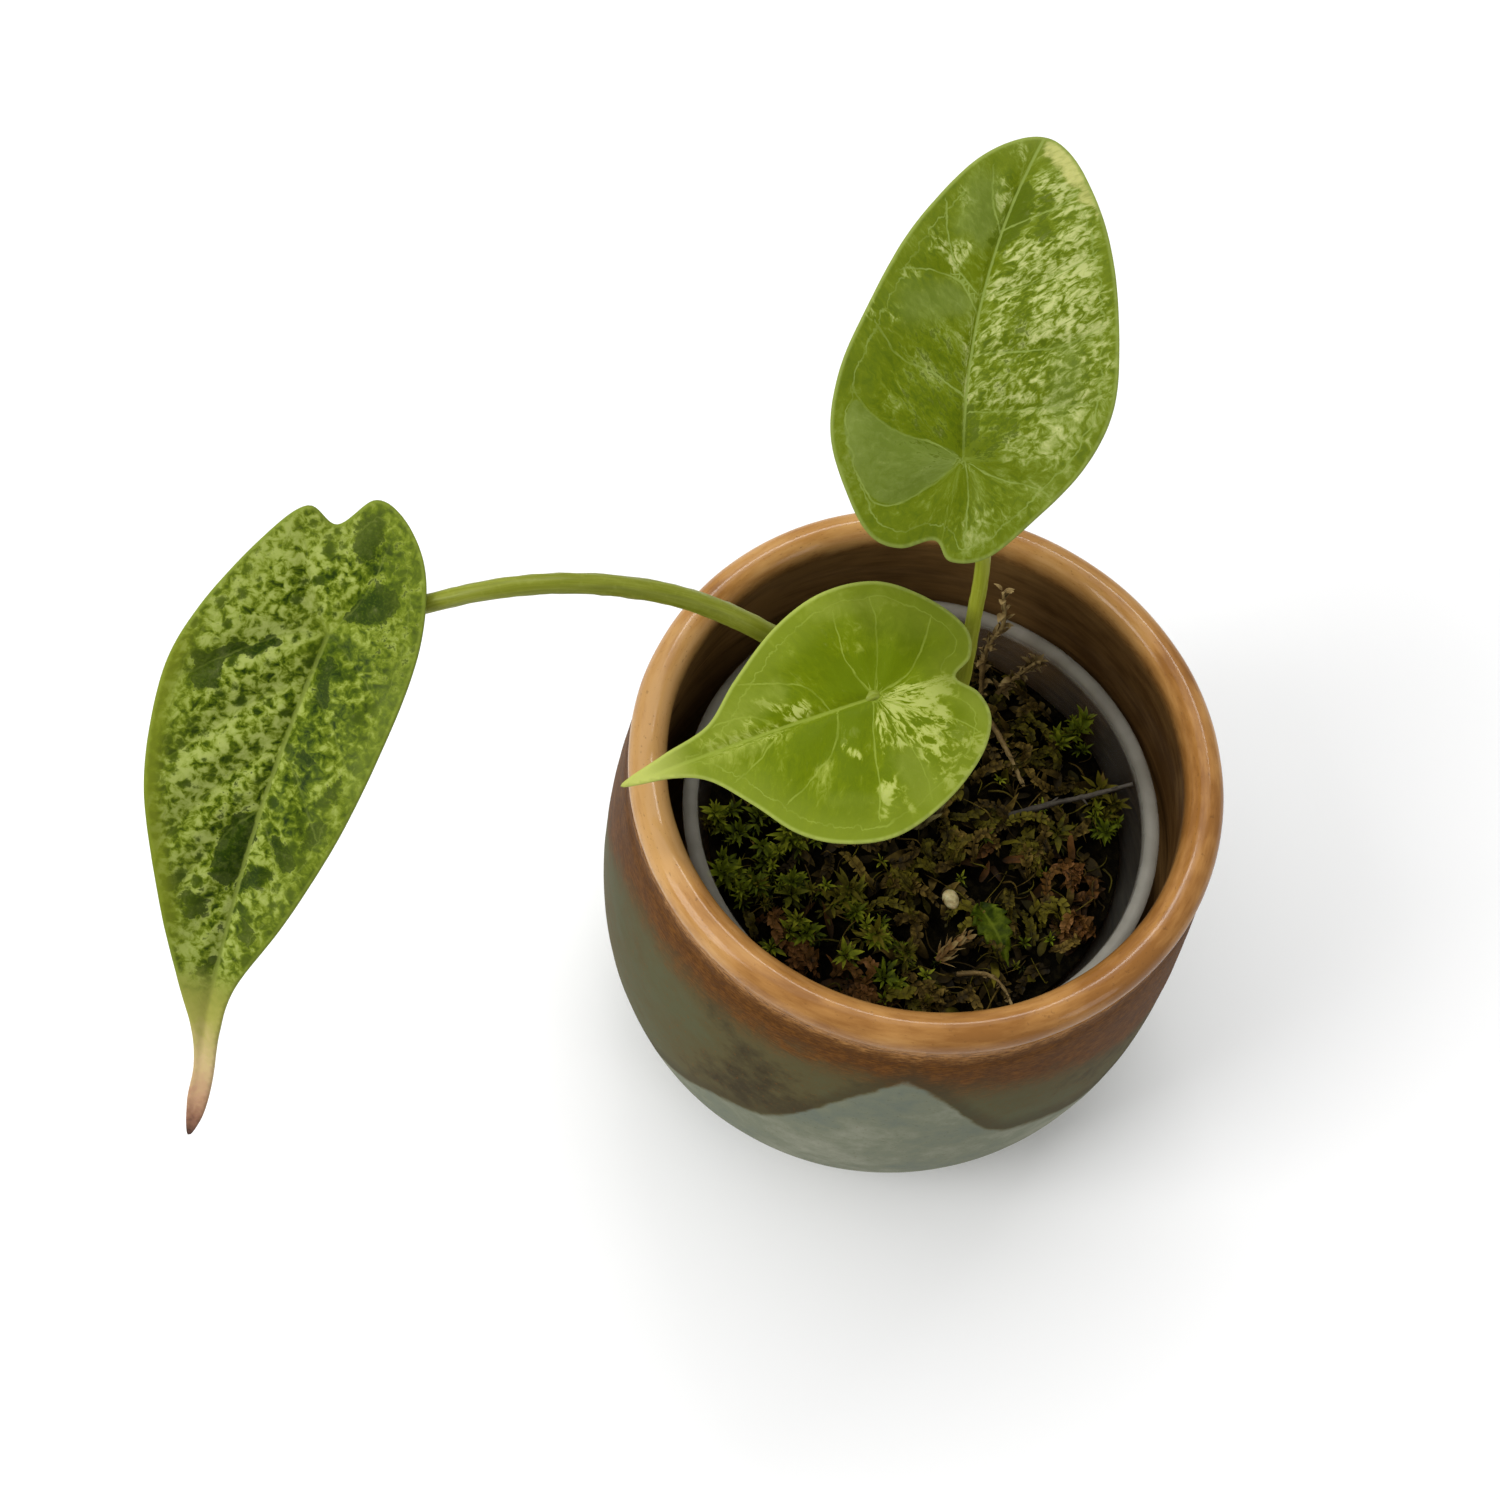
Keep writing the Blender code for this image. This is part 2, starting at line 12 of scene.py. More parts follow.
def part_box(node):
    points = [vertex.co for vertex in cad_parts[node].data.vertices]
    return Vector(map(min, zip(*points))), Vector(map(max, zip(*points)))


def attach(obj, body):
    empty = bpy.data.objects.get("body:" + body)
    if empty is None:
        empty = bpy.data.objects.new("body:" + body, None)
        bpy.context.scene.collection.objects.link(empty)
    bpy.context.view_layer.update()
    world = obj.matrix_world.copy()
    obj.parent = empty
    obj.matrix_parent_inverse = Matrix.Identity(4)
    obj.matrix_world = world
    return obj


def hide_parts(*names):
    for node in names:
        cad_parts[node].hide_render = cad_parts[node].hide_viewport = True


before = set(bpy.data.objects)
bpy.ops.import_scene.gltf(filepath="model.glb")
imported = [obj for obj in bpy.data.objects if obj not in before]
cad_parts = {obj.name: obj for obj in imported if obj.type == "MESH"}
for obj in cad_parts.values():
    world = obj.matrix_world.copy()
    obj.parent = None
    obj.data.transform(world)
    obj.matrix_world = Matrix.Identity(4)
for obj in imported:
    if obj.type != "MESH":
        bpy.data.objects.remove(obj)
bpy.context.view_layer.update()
mm = 0.001
noise.seed_set(11)                        # without it, noise vectors follow the clock
print("frame loaded:", len(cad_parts), "nodes")


def boxOf(node):
    # lowest and highest corner of a solid, in mm
    low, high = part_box(node)
    return Vector(low) / mm, Vector(high) / mm


def smoothCurve(points, spans, closed=False):
    # rounded curve through the points, each a tuple of any length
    pts = np.array(points, float)
    count = len(pts)
    made = []
    for i in range(count if closed else count - 1):
        near = [(i + k) % count if closed else min(max(i + k, 0), count - 1) for k in (-1, 0, 1, 2)]
        a, b, c, d = pts[near]
        for step in range(spans):
            t = step / spans
            made.append(0.5 * (2 * b + (c - a) * t + (2 * a - 5 * b + 4 * c - d) * t * t
                               + (3 * b - a - 3 * c + d) * t ** 3))
    return np.array(made if closed else made + [pts[-1]])


def unit(way):
    return way / max(np.linalg.norm(way), 1e-6)


def heading(turn, pitch):
    # direction at a turn about the upright axis and a pitch above the level, in radians
    return np.array([cos(turn) * cos(pitch), sin(turn) * cos(pitch), sin(pitch)])


def makePiece(name, points, faces, finishes, standsFor=(), extras=None):
    # points in mm; extras are per-point numbers that the finish reads
    data = bpy.data.meshes.new(name)
    data.from_pydata((np.asarray(points) * mm).tolist(), [], faces)
    for key, values in (extras or {}).items():
        values = np.asarray(values, np.float32)
        layer = data.attributes.new(key, "FLOAT_VECTOR" if values.ndim > 1 else "FLOAT", "POINT")
        layer.data.foreach_set("vector" if values.ndim > 1 else "value", values.ravel())
    data.shade_smooth()
    for finish in finishes:
        data.materials.append(finish)
    piece = bpy.data.objects.new(name, data)
    bpy.context.scene.collection.objects.link(piece)
    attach(piece, "root")
    if standsFor:
        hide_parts(*standsFor)
    return piece


def makeJoined(name, shapes, finish, standsFor=()):
    # one piece from many shapes, each (points, faces, {attribute: values})
    faces, extras, start = [], {}, 0
    for points, shapeFaces, shapeExtras in shapes:
        faces += [tuple(i + start for i in face) for face in shapeFaces]
        for key, values in shapeExtras.items():
            extras.setdefault(key, []).append(np.broadcast_to(values, len(points)))
        start += len(points)
    extras = {key: np.concatenate(parts) for key, parts in extras.items()}
    points = np.concatenate([shape[0] for shape in shapes])
    return makePiece(name, points, faces, [finish], standsFor, extras)


def weld(piece):
    bm = bmesh.new()
    bm.from_mesh(piece.data)
    bmesh.ops.remove_doubles(bm, verts=bm.verts, dist=0.002 * mm)
    bmesh.ops.recalc_face_normals(bm, faces=bm.faces)
    bm.to_mesh(piece.data)
    bm.free()


def thicken(piece, thickness):
    shell = piece.modifiers.new("thickness", "SOLIDIFY")
    shell.thickness = thickness * mm
    shell.offset = 0
    return shell


def turnedShape(profile, steps, centre=(0, 0), wobble=None):
    # profile of (radius, height), from the axis round to the axis again
    rings = len(profile)
    points, faces = [], []
    for step in range(steps):
        angle = 2 * pi * step / steps
        for radius, height in profile:
            r = radius + (wobble(angle, height) if wobble and radius > 1 else 0)
            points.append((centre[0] + r * cos(angle), centre[1] + r * sin(angle), height))
        one, two = step * rings, (step + 1) % steps * rings
        faces += [(one + k, two + k, two + k + 1, one + k + 1) for k in range(rings - 1)]
    return np.array(points), faces


def tubeShape(route, radii, sides, extras=None, wobble=0.0, seed=0):
    # a round tube with closed ends; its frame is carried along the route, so that it never twists
    route = np.asarray(route, float)
    count, last = len(route), len(route) * sides
    ahead = np.gradient(route, axis=0)
    ahead /= np.linalg.norm(ahead, axis=1)[:, None]
    side = np.cross(ahead[0], (0.3, 0.2, 0.93))
    side /= np.linalg.norm(side)
    angles = 2 * pi * np.arange(sides) / sides
    points = []
    for i, (x, y, z) in enumerate(route):
        side = side - ahead[i] * side.dot(ahead[i])
        side /= np.linalg.norm(side)
        r = radii[i] * np.ones(sides)
        if wobble:
            r += [radii[i] * wobble * noise.noise((x + 3 * cos(a), y + 3 * sin(a), z * 0.7 + seed))
                  for a in angles]
        points.append(route[i] + np.outer(r * np.cos(angles), side)
                      + np.outer(r * np.sin(angles), np.cross(ahead[i], side)))
    pairs = [(k, (k + 1) % sides) for k in range(sides)]
    faces = [(i + k, i + after, i + sides + after, i + sides + k)
             for i in range(0, last - sides, sides) for k, after in pairs]
    for k, after in pairs:
        faces += [(last, after, k), (last + 1, last - sides + k, last - sides + after)]
    given = {"tipward": np.append(np.repeat(np.linspace(0, 1, count), sides), (0, 1)), **(extras or {})}
    return np.concatenate(points + [route[:1], route[-1:]]), faces, given


def leafletShape(base, forward, lift, length, halfWidth, curl, rows, fold):
    # a pointed leaflet: widest a third of the way along, folded on its midrib and curling towards lift
    forward = np.asarray(forward, float)
    forward = forward / np.linalg.norm(forward)
    side = unit(np.cross(forward, np.asarray(lift, float)))
    up = np.cross(side, forward)
    t = np.linspace(0, 1, rows)
    width = halfWidth * np.clip(np.sin(pi * t ** 0.75) + 0.30 * (1 - t), 0.03, None)
    turn = curl * 1.9 * t
    centre = np.asarray(base, float) + length * (np.outer(np.cumsum(np.cos(turn)) / rows, forward)
                                                 + np.outer(np.cumsum(np.sin(turn)) / rows, up))
    facing = np.outer(np.cos(turn), up) - np.outer(np.sin(turn), forward)
    left = centre + side * width[:, None] + facing * (fold * width)[:, None]
    right = centre - side * width[:, None] + facing * (fold * width)[:, None]
    faces = [(a, a + 1, a + 4, a + 3) for i in range(rows - 1) for a in (3 * i, 3 * i + 1)]
    return np.stack([left, centre, right], axis=1).reshape(-1, 3), faces, {"tipward": np.repeat(t, 3)}


def stopsOf(values, *stops):
    # places on a ramp with the colours that a dictionary has for them
    return [(place, values[key]) for place, key in stops]


class Wire:
    # a node's output, which plain arithmetic works on
    def __init__(self, finish, socket):
        self.finish, self.socket = finish, socket

    def maths(self, operation, other=0.0):
        return self.finish.node("Math", {"operation": operation}, {0: self, 1: other})

    def __add__(self, other):
        return self.maths("ADD", other)

    def __sub__(self, other):
        return self.maths("SUBTRACT", other)

    def __mul__(self, other):
        return self.maths("MULTIPLY", other)

    def __truediv__(self, other):
        return self.maths("DIVIDE", other)

    def __abs__(self):
        return self.maths("ABSOLUTE")

    def output(self, name):
        return Wire(self.finish, self.socket.node.outputs[name])


class Finish:
    # a material and the short words that its nodes are made with
    def __init__(self, name, sockets):
        self.material = bpy.data.materials.new(name)
        self.material.use_nodes = True
        self.tree = self.material.node_tree
        self.shader = self.tree.nodes["Principled BSDF"]
        self.fill(self.shader, sockets)

    def fill(self, made, sockets):
        for key, value in sockets.items():
            if isinstance(value, Wire):
                self.tree.links.new(value.socket, made.inputs[key])
            else:
                made.inputs[key].default_value = value

    def node(self, kind, settings, sockets, output=0):
        made = self.tree.nodes.new("ShaderNode" + kind)
        for key, value in settings.items():
            setattr(made, key, value)
        self.fill(made, sockets)
        return Wire(self, made.outputs[output])

    def place(self, stretch=(1, 1, 1)):
        return self.node("Mapping", {}, {"Vector": self.node("TexCoord", {}, {}, "Object"), "Scale": stretch})

    def reading(self, name, output="Fac"):
        return self.node("Attribute", {"attribute_name": name}, {}, output)

    def cloud(self, place, scale, detail=4.0, roughness=0.55, distortion=0.0):
        return self.node("TexNoise", {}, {"Vector": place, "Scale": scale, "Detail": detail,
                                          "Roughness": roughness, "Distortion": distortion}, "Fac")

    def step(self, value, low, high, bottom=0.0, top=1.0):
        # smooth step from bottom to top as the value goes from low to high
        return self.node("MapRange", {"interpolation_type": "SMOOTHSTEP"}, {
            "Value": value, "From Min": low, "From Max": high, "To Min": bottom, "To Max": top}, "Result")

    def shades(self, factor, stops):
        ramp = self.node("ValToRGB", {}, {"Fac": factor}, "Color")
        steps = ramp.socket.node.color_ramp.elements
        while len(steps) < len(stops):
            steps.new(0.5)
        for step, (place, colour) in zip(steps, stops):
            step.position = place
            step.color = (*colour, 1)
        return ramp

    def mixed(self, factor, one, two):
        one, two = ((*value, 1) if isinstance(value, tuple) else value for value in (one, two))
        return self.node("Mix", {"data_type": "RGBA"}, {0: factor, 6: one, 7: two}, 2)

    def done(self, colour, roughness, relief, strength, depth):
        # the finished material; a relief of 1 stands depth mm high
        bump = self.node("Bump", {}, {"Height": relief, "Strength": strength, "Distance": depth * mm})
        self.fill(self.shader, {"Base Color": colour, "Roughness": roughness, "Normal": bump})
        return self.material


pot = {
    "width": 80.0, "steps": 300, "spans": 7,
    "outside": [(36.45, 64.6), (36.7, 62.6), (37.2, 60.0), (38.4, 51.0), (39.5, 41.0), (40.0, 30.0),
                (39.2, 19.0), (37.0, 10.5), (32.6, 3.8), (28.6, 1.0), (24.6, 0.15)],
    "foot": [(23.6, 0.0), (22.2, 0.0), (21.4, 0.3), (20.9, 1.1), (20.2, 1.3)],   # bare clay ring underneath
    "inside": [(25.8, 5.0), (30.6, 7.0), (33.6, 12.0), (35.4, 20.0), (36.1, 30.0), (35.5, 41.0),
               (34.1, 51.0), (32.7, 60.0)],
    "lipMiddle": 34.2, "lipRoll": 2.35, "lipSteps": 16,
    "wobble": 0.16,                       # mm, unevenness left by throwing and firing
    "lineHeight": 28.0,                   # where the olive glaze ends above the blue-grey one
    # (angle in degrees, rise in mm, width in degrees) of each peak or dip
    "linePeaks": [(-75, 30, 22), (-142, -19, 26), (12, 9, 15), (66, 18, 14), (118, 11, 18)],
    "rustHeight": 58.0,                   # where the rust band below the lip ends
    # the dip at -12 degrees runs the paler rust lower on the right front, partly as a painted reflection
    "rustDipsAndSheen": [(-12, 15, 33), (-170, 12, 26), (95, 9, 26)],
    # (name, coat weight, depth in mm below the top where it ends)
    "glosses": [("lip glaze", 0.60, 2.6), ("shoulder glaze", 0.20, 4.2), ("run glaze", 0.11, 99.0)],
    "paintedRightShade": 2.4,                         # painted shade: how much darker the lip and the inside are painted towards the right, per metre
    # the first pair is where the flecked, pooled glaze and the painted shade under the roll begin and end
    "poolingAndRollShade": (1.3, 3.6), "lipFade": (3.2, 6.0), "insideFade": (0.1, 4.6),      # mm below the top
    "rustFray": 9.0, "runFray": 2.6, "lipFray": 5.0,                             # mm that each edge wanders
    "caramelDeep": (0.250, 0.106, 0.024), "caramel": (0.390, 0.190, 0.053),
    "caramelPale": (0.510, 0.285, 0.100),
    "fleck": (0.10, 0.042, 0.014), "rust": (0.070, 0.025, 0.003), "rustPale": (0.150, 0.057, 0.008),
    "olive": (0.086, 0.070, 0.026), "oliveDeep": (0.042, 0.031, 0.012), "oliveGreen": (0.084, 0.082, 0.036),
    "grey": (0.170, 0.182, 0.125), "greyBlue": (0.130, 0.152, 0.120), "greyPale": (0.250, 0.255, 0.190),
    "insideBrown": (0.210, 0.115, 0.038), "insideDeep": (0.082, 0.039, 0.012),
    "clay": (0.42, 0.30, 0.19), "clayDark": (0.26, 0.17, 0.10), "clayRoughness": 0.85,
}


def glazeLines(angle):
    # heights in mm where the olive run and the rust band end, at an angle in degrees
    def pull(places, power):
        return sum(rise * exp(-(abs((angle - middle + 180) % 360 - 180) / width) ** power)
                   for middle, rise, width in places)
    turn = radians(angle)
    ripple = 0.9 * sin(turn * 9 + 0.6) + 0.9 * sin(turn * 17 + 2.0)
    line = pot["lineHeight"] + pull(pot["linePeaks"], 1.35) + ripple
    return line, pot["rustHeight"] - pull(pot["rustDipsAndSheen"], 2.0) + 0.8 * sin(turn * 7)


def potFinish(name, gloss):
    glaze = Finish(name, {"IOR": 1.45, "Specular IOR Level": 0.0, "Coat Weight": gloss,
                          "Coat Roughness": 0.13, "Coat IOR": 1.42})
    place, thrownPlace = glaze.place(), glaze.place((1, 1, 5))       # throwing marks run round the pot
    broad, fine = glaze.cloud(place, 55, 3), glaze.cloud(place, 420, 5, 0.65)
    grains = glaze.cloud(thrownPlace, 900, 4, 0.7)
    streaks = glaze.cloud(glaze.reading("thrown", "Vector"), 1.0, 4, 0.6)
    drift, fray = broad - 0.5, fine - 0.5
    lipDrop = glaze.reading("lipDrop")

    # painted shade: the lip and the inside are painted a little darker on the right
    rightward = glaze.node("SeparateXYZ", {}, {"Vector": place}, "X")
    lipTone = broad * 0.60 + streaks * 0.40 - rightward * pot["paintedRightShade"]
    lip = glaze.shades(lipTone, stopsOf(pot, (0.37, "caramelDeep"), (0.49, "caramel"), (0.63, "caramelPale")))
    # below the roll the glaze is flecked and pooled darker, and part of that darkening is painted shade of
    # the roll's underside
    pooledAndShaded = glaze.shades(grains, stopsOf(pot, (0.38, "rust"), (0.48, "caramelDeep"), (0.60, "caramel")))
    lip = glaze.mixed(glaze.step(lipDrop + fray * 4.0, *pot["poolingAndRollShade"]), lip, pooledAndShaded)
    freckles = glaze.step(glaze.cloud(thrownPlace, 1500, 3, 0.6), 0.62, 0.70)
    lip = glaze.mixed(freckles * 0.4, lip, pot["fleck"])

    oliveTone = broad * 0.7 + fine * 0.3
    olive = glaze.shades(oliveTone, stopsOf(pot, (0.36, "oliveDeep"), (0.48, "olive"), (0.60, "oliveGreen")))
    specks = glaze.step(glaze.cloud(place, 2100, 2, 0.5), 0.62, 0.72)
    olive = glaze.mixed(specks * 0.45, olive, pot["rustPale"])
    rustTone = grains * 0.7 + fine * 0.3
    rust = glaze.shades(rustTone, stopsOf(pot, (0.34, "fleck"), (0.44, "rust"), (0.60, "rustPale")))
    rustEdge = glaze.reading("rustLine") + fray * pot["rustFray"] + drift * 10.0
    body = glaze.mixed(glaze.step(rustEdge, -5.0, 3.0), olive, rust)

    grey = glaze.shades(oliveTone, stopsOf(pot, (0.36, "greyBlue"), (0.50, "grey"), (0.64, "greyPale")))
    grey = glaze.mixed(specks * 0.25, grey, pot["olive"])
    runEdge = glaze.reading("runLine") + fray * pot["runFray"]
    body = glaze.mixed(glaze.step(runEdge, -0.7, 0.9, 1.0, 0.0), body, grey)
    # the olive glaze gathers darker along the edge of each run
    gathered = glaze.step(runEdge, 0.2, 1.2) * glaze.step(runEdge, 1.6, 6.5, 1.0, 0.0)
    body = glaze.mixed(gathered * 0.55, body, pot["oliveDeep"])

    lipEdge = lipDrop + fray * pot["lipFray"] + drift * pot["lipFray"]
    outside = glaze.mixed(glaze.step(lipEdge, *pot["lipFade"]), lip, body)
    inside = glaze.shades(lipTone, stopsOf(pot, (0.34, "insideDeep"), (0.60, "insideBrown")))
    inside = glaze.mixed(glaze.step(lipDrop, *pot["insideFade"]), lip, inside)
    bare = glaze.step(glaze.reading("clayShare"), 0.4, 0.6)
    clay = glaze.shades(fine, stopsOf(pot, (0.35, "clayDark"), (0.6, "clay")))
    colour = glaze.mixed(bare, glaze.mixed(glaze.reading("inner"), outside, inside), clay)
    roughness = glaze.mixed(bare, glaze.step(fine, 0.3, 0.7, 0.18, 0.34), (pot["clayRoughness"],) * 3)
    return glaze.done(colour, roughness, glaze.cloud(place, 140, 3) * 0.9 + grains * 0.08, 0.5, 0.22)


def makePot():
    low, high = boxOf("ceramic_pot")
    fit = (high.x - low.x) / pot["width"]
    roll, lipTop, steps = pot["lipRoll"], high.z / fit, pot["steps"]
    turns = [pi * i / pot["lipSteps"] for i in range(pot["lipSteps"] + 1)]
    lip = [(pot["lipMiddle"] - roll * cos(a), lipTop - roll + roll * sin(a)) for a in turns]
    inside = smoothCurve([(0.0, pot["inside"][0][1])] + pot["inside"] + lip[:1], pot["spans"])[:-1]
    outside = smoothCurve(lip[-1:] + pot["outside"], pot["spans"])[1:]
    profile = [tuple(p) for p in (*inside, *lip, *outside, *smoothCurve(pot["foot"], 3))]
    profile.append((0.0, pot["foot"][-1][1]))

    def wobble(angle, height):
        x, y = 1.3 * cos(angle), 1.3 * sin(angle)
        broad, fine = noise.noise((x, y, height * 0.05)), noise.noise((x * 4, y * 4, height * 0.35))
        return pot["wobble"] * (broad + 0.35 * fine)

    points, faces = turnedShape(profile, steps, wobble=wobble)
    points *= fit
    ring = np.tile(np.arange(len(profile)), steps)
    angles = np.repeat([(360 * s / steps + 180) % 360 - 180 for s in range(steps)], len(profile))
    lines = np.array([glazeLines(a) for a in angles])
    along = np.concatenate([[0], np.cumsum(np.linalg.norm(np.diff(np.array(profile), axis=0), axis=1))])
    extras = {
        "lipDrop": high.z - points[:, 2],
        "inner": ring < len(inside) + len(lip) // 2,
        "runLine": points[:, 2] - lines[:, 0],
        "rustLine": points[:, 2] - lines[:, 1],
        "clayShare": ring > len(inside) + len(lip) + len(outside) - 1,
        "thrown": np.column_stack([points[:, 0] / 7, points[:, 1] / 7, np.tile(along, steps) / 1.3]),
    }
    finishes = [potFinish(name, gloss) for name, gloss, _ in pot["glosses"]]
    piece = makePiece("glazedPot", points, faces, finishes, ["ceramic_pot"], extras)
    weld(piece)
    # the roll is glossiest, and the wall below it less so
    reach = np.array([limit for _, _, limit in pot["glosses"][:-1]])
    for polygon in piece.data.polygons:
        polygon.material_index = int(np.sum(high.z - polygon.center.z / mm > reach))


makePot()
print("pot turned and glazed")


cup = {
    "rim": 2.0, "wall": 0.8, "corner": 1.5, "bottomRadius": 22.6, "steps": 200, "rimSteps": 14, "rises": 8,
    "drains": 5, "drainRadius": 2.6, "drainCircle": 13.5,
    "plastic": (0.60, 0.575, 0.49), "haze": (0.50, 0.475, 0.40), "rimCloud": 0.42,
}


def cupFinish():
    plastic = Finish("cloudy plastic", {"IOR": 1.4, "Specular IOR Level": 0.14})
    scuffs = plastic.cloud(plastic.place((1, 1, 0.25)), 260, 3, 0.5)
    mist = plastic.step(plastic.cloud(plastic.place(), 90, 2), 0.3, 0.7, 0.016, 0.036)
    plastic.fill(plastic.shader, {"Alpha": plastic.reading("rimShare") * cup["rimCloud"] + mist})
    colour = plastic.shades(scuffs, stopsOf(cup, (0.35, "haze"), (0.65, "plastic")))
    return plastic.done(colour, plastic.step(scuffs, 0.35, 0.7, 0.16, 0.36), scuffs, 0.08, 0.05)


def drillDrain(piece, at, depth):
    hole, radius = bmesh.new(), cup["drainRadius"] * mm
    bmesh.ops.create_cone(hole, cap_ends=True, segments=32, radius1=radius, radius2=radius, depth=depth * mm,
                          matrix=Matrix.Translation(at * mm))
    data = bpy.data.meshes.new("drain")
    hole.to_mesh(data)
    hole.free()
    cutter = bpy.data.objects.new("drain", data)
    bpy.context.scene.collection.objects.link(cutter)
    cut = piece.modifiers.new("drain", "BOOLEAN")
    cut.object = cutter
    cut.solver = "EXACT"
    bpy.context.view_layer.update()
    cutMesh = bpy.data.meshes.new_from_object(piece.evaluated_get(bpy.context.evaluated_depsgraph_get()))
    piece.modifiers.clear()
    piece.data = cutMesh
    bpy.data.objects.remove(cutter, do_unlink=True)


def makeCup():
    low, high = boxOf("liner_cup")
    middle = (low + high) / 2
    radius, half = (high.x - low.x) / 2, cup["rim"] / 2
    floor, top, wall, corner = low.z, high.z, cup["wall"], cup["corner"]
    bottom, wallTop, inFloor = cup["bottomRadius"], high.z - cup["rim"], low.z + cup["wall"]

    def outer(height):
        return bottom + (radius - half - bottom) * (height - floor) / (top - floor)

    heights = [inFloor + corner + (wallTop - inFloor - corner) * i / cup["rises"]
               for i in range(cup["rises"] + 1)]
    curl = [radians(200 - 260 * i / cup["rimSteps"]) for i in range(cup["rimSteps"] + 1)]
    profile = [(0, inFloor), (outer(inFloor) - wall - corner, inFloor)]
    profile += [(outer(height) - wall, height) for height in heights]
    profile += [(radius - half + half * cos(a), top - half + half * sin(a)) for a in curl]
    profile += [(outer(wallTop), wallTop), (outer(floor + corner), floor + corner),
                (bottom - corner * 0.3, floor + corner * 0.3), (bottom - corner, floor), (0, floor)]
    points, faces = turnedShape(profile, cup["steps"], middle)
    extras = {"rimShare": np.clip((points[:, 2] - wallTop) / 0.6, 0, 1)}
    piece = makePiece("linerCup", points, faces, [cupFinish()], ["liner_cup"], extras)
    weld(piece)
    circle = cup["drainCircle"]
    for i in range(cup["drains"]):
        turn = 2 * pi * (i + 0.5) / cup["drains"]
        at = Vector((middle.x + circle * cos(turn), middle.y + circle * sin(turn), floor))
        drillDrain(piece, at, 6 * wall)


makeCup()
print("liner cup made")


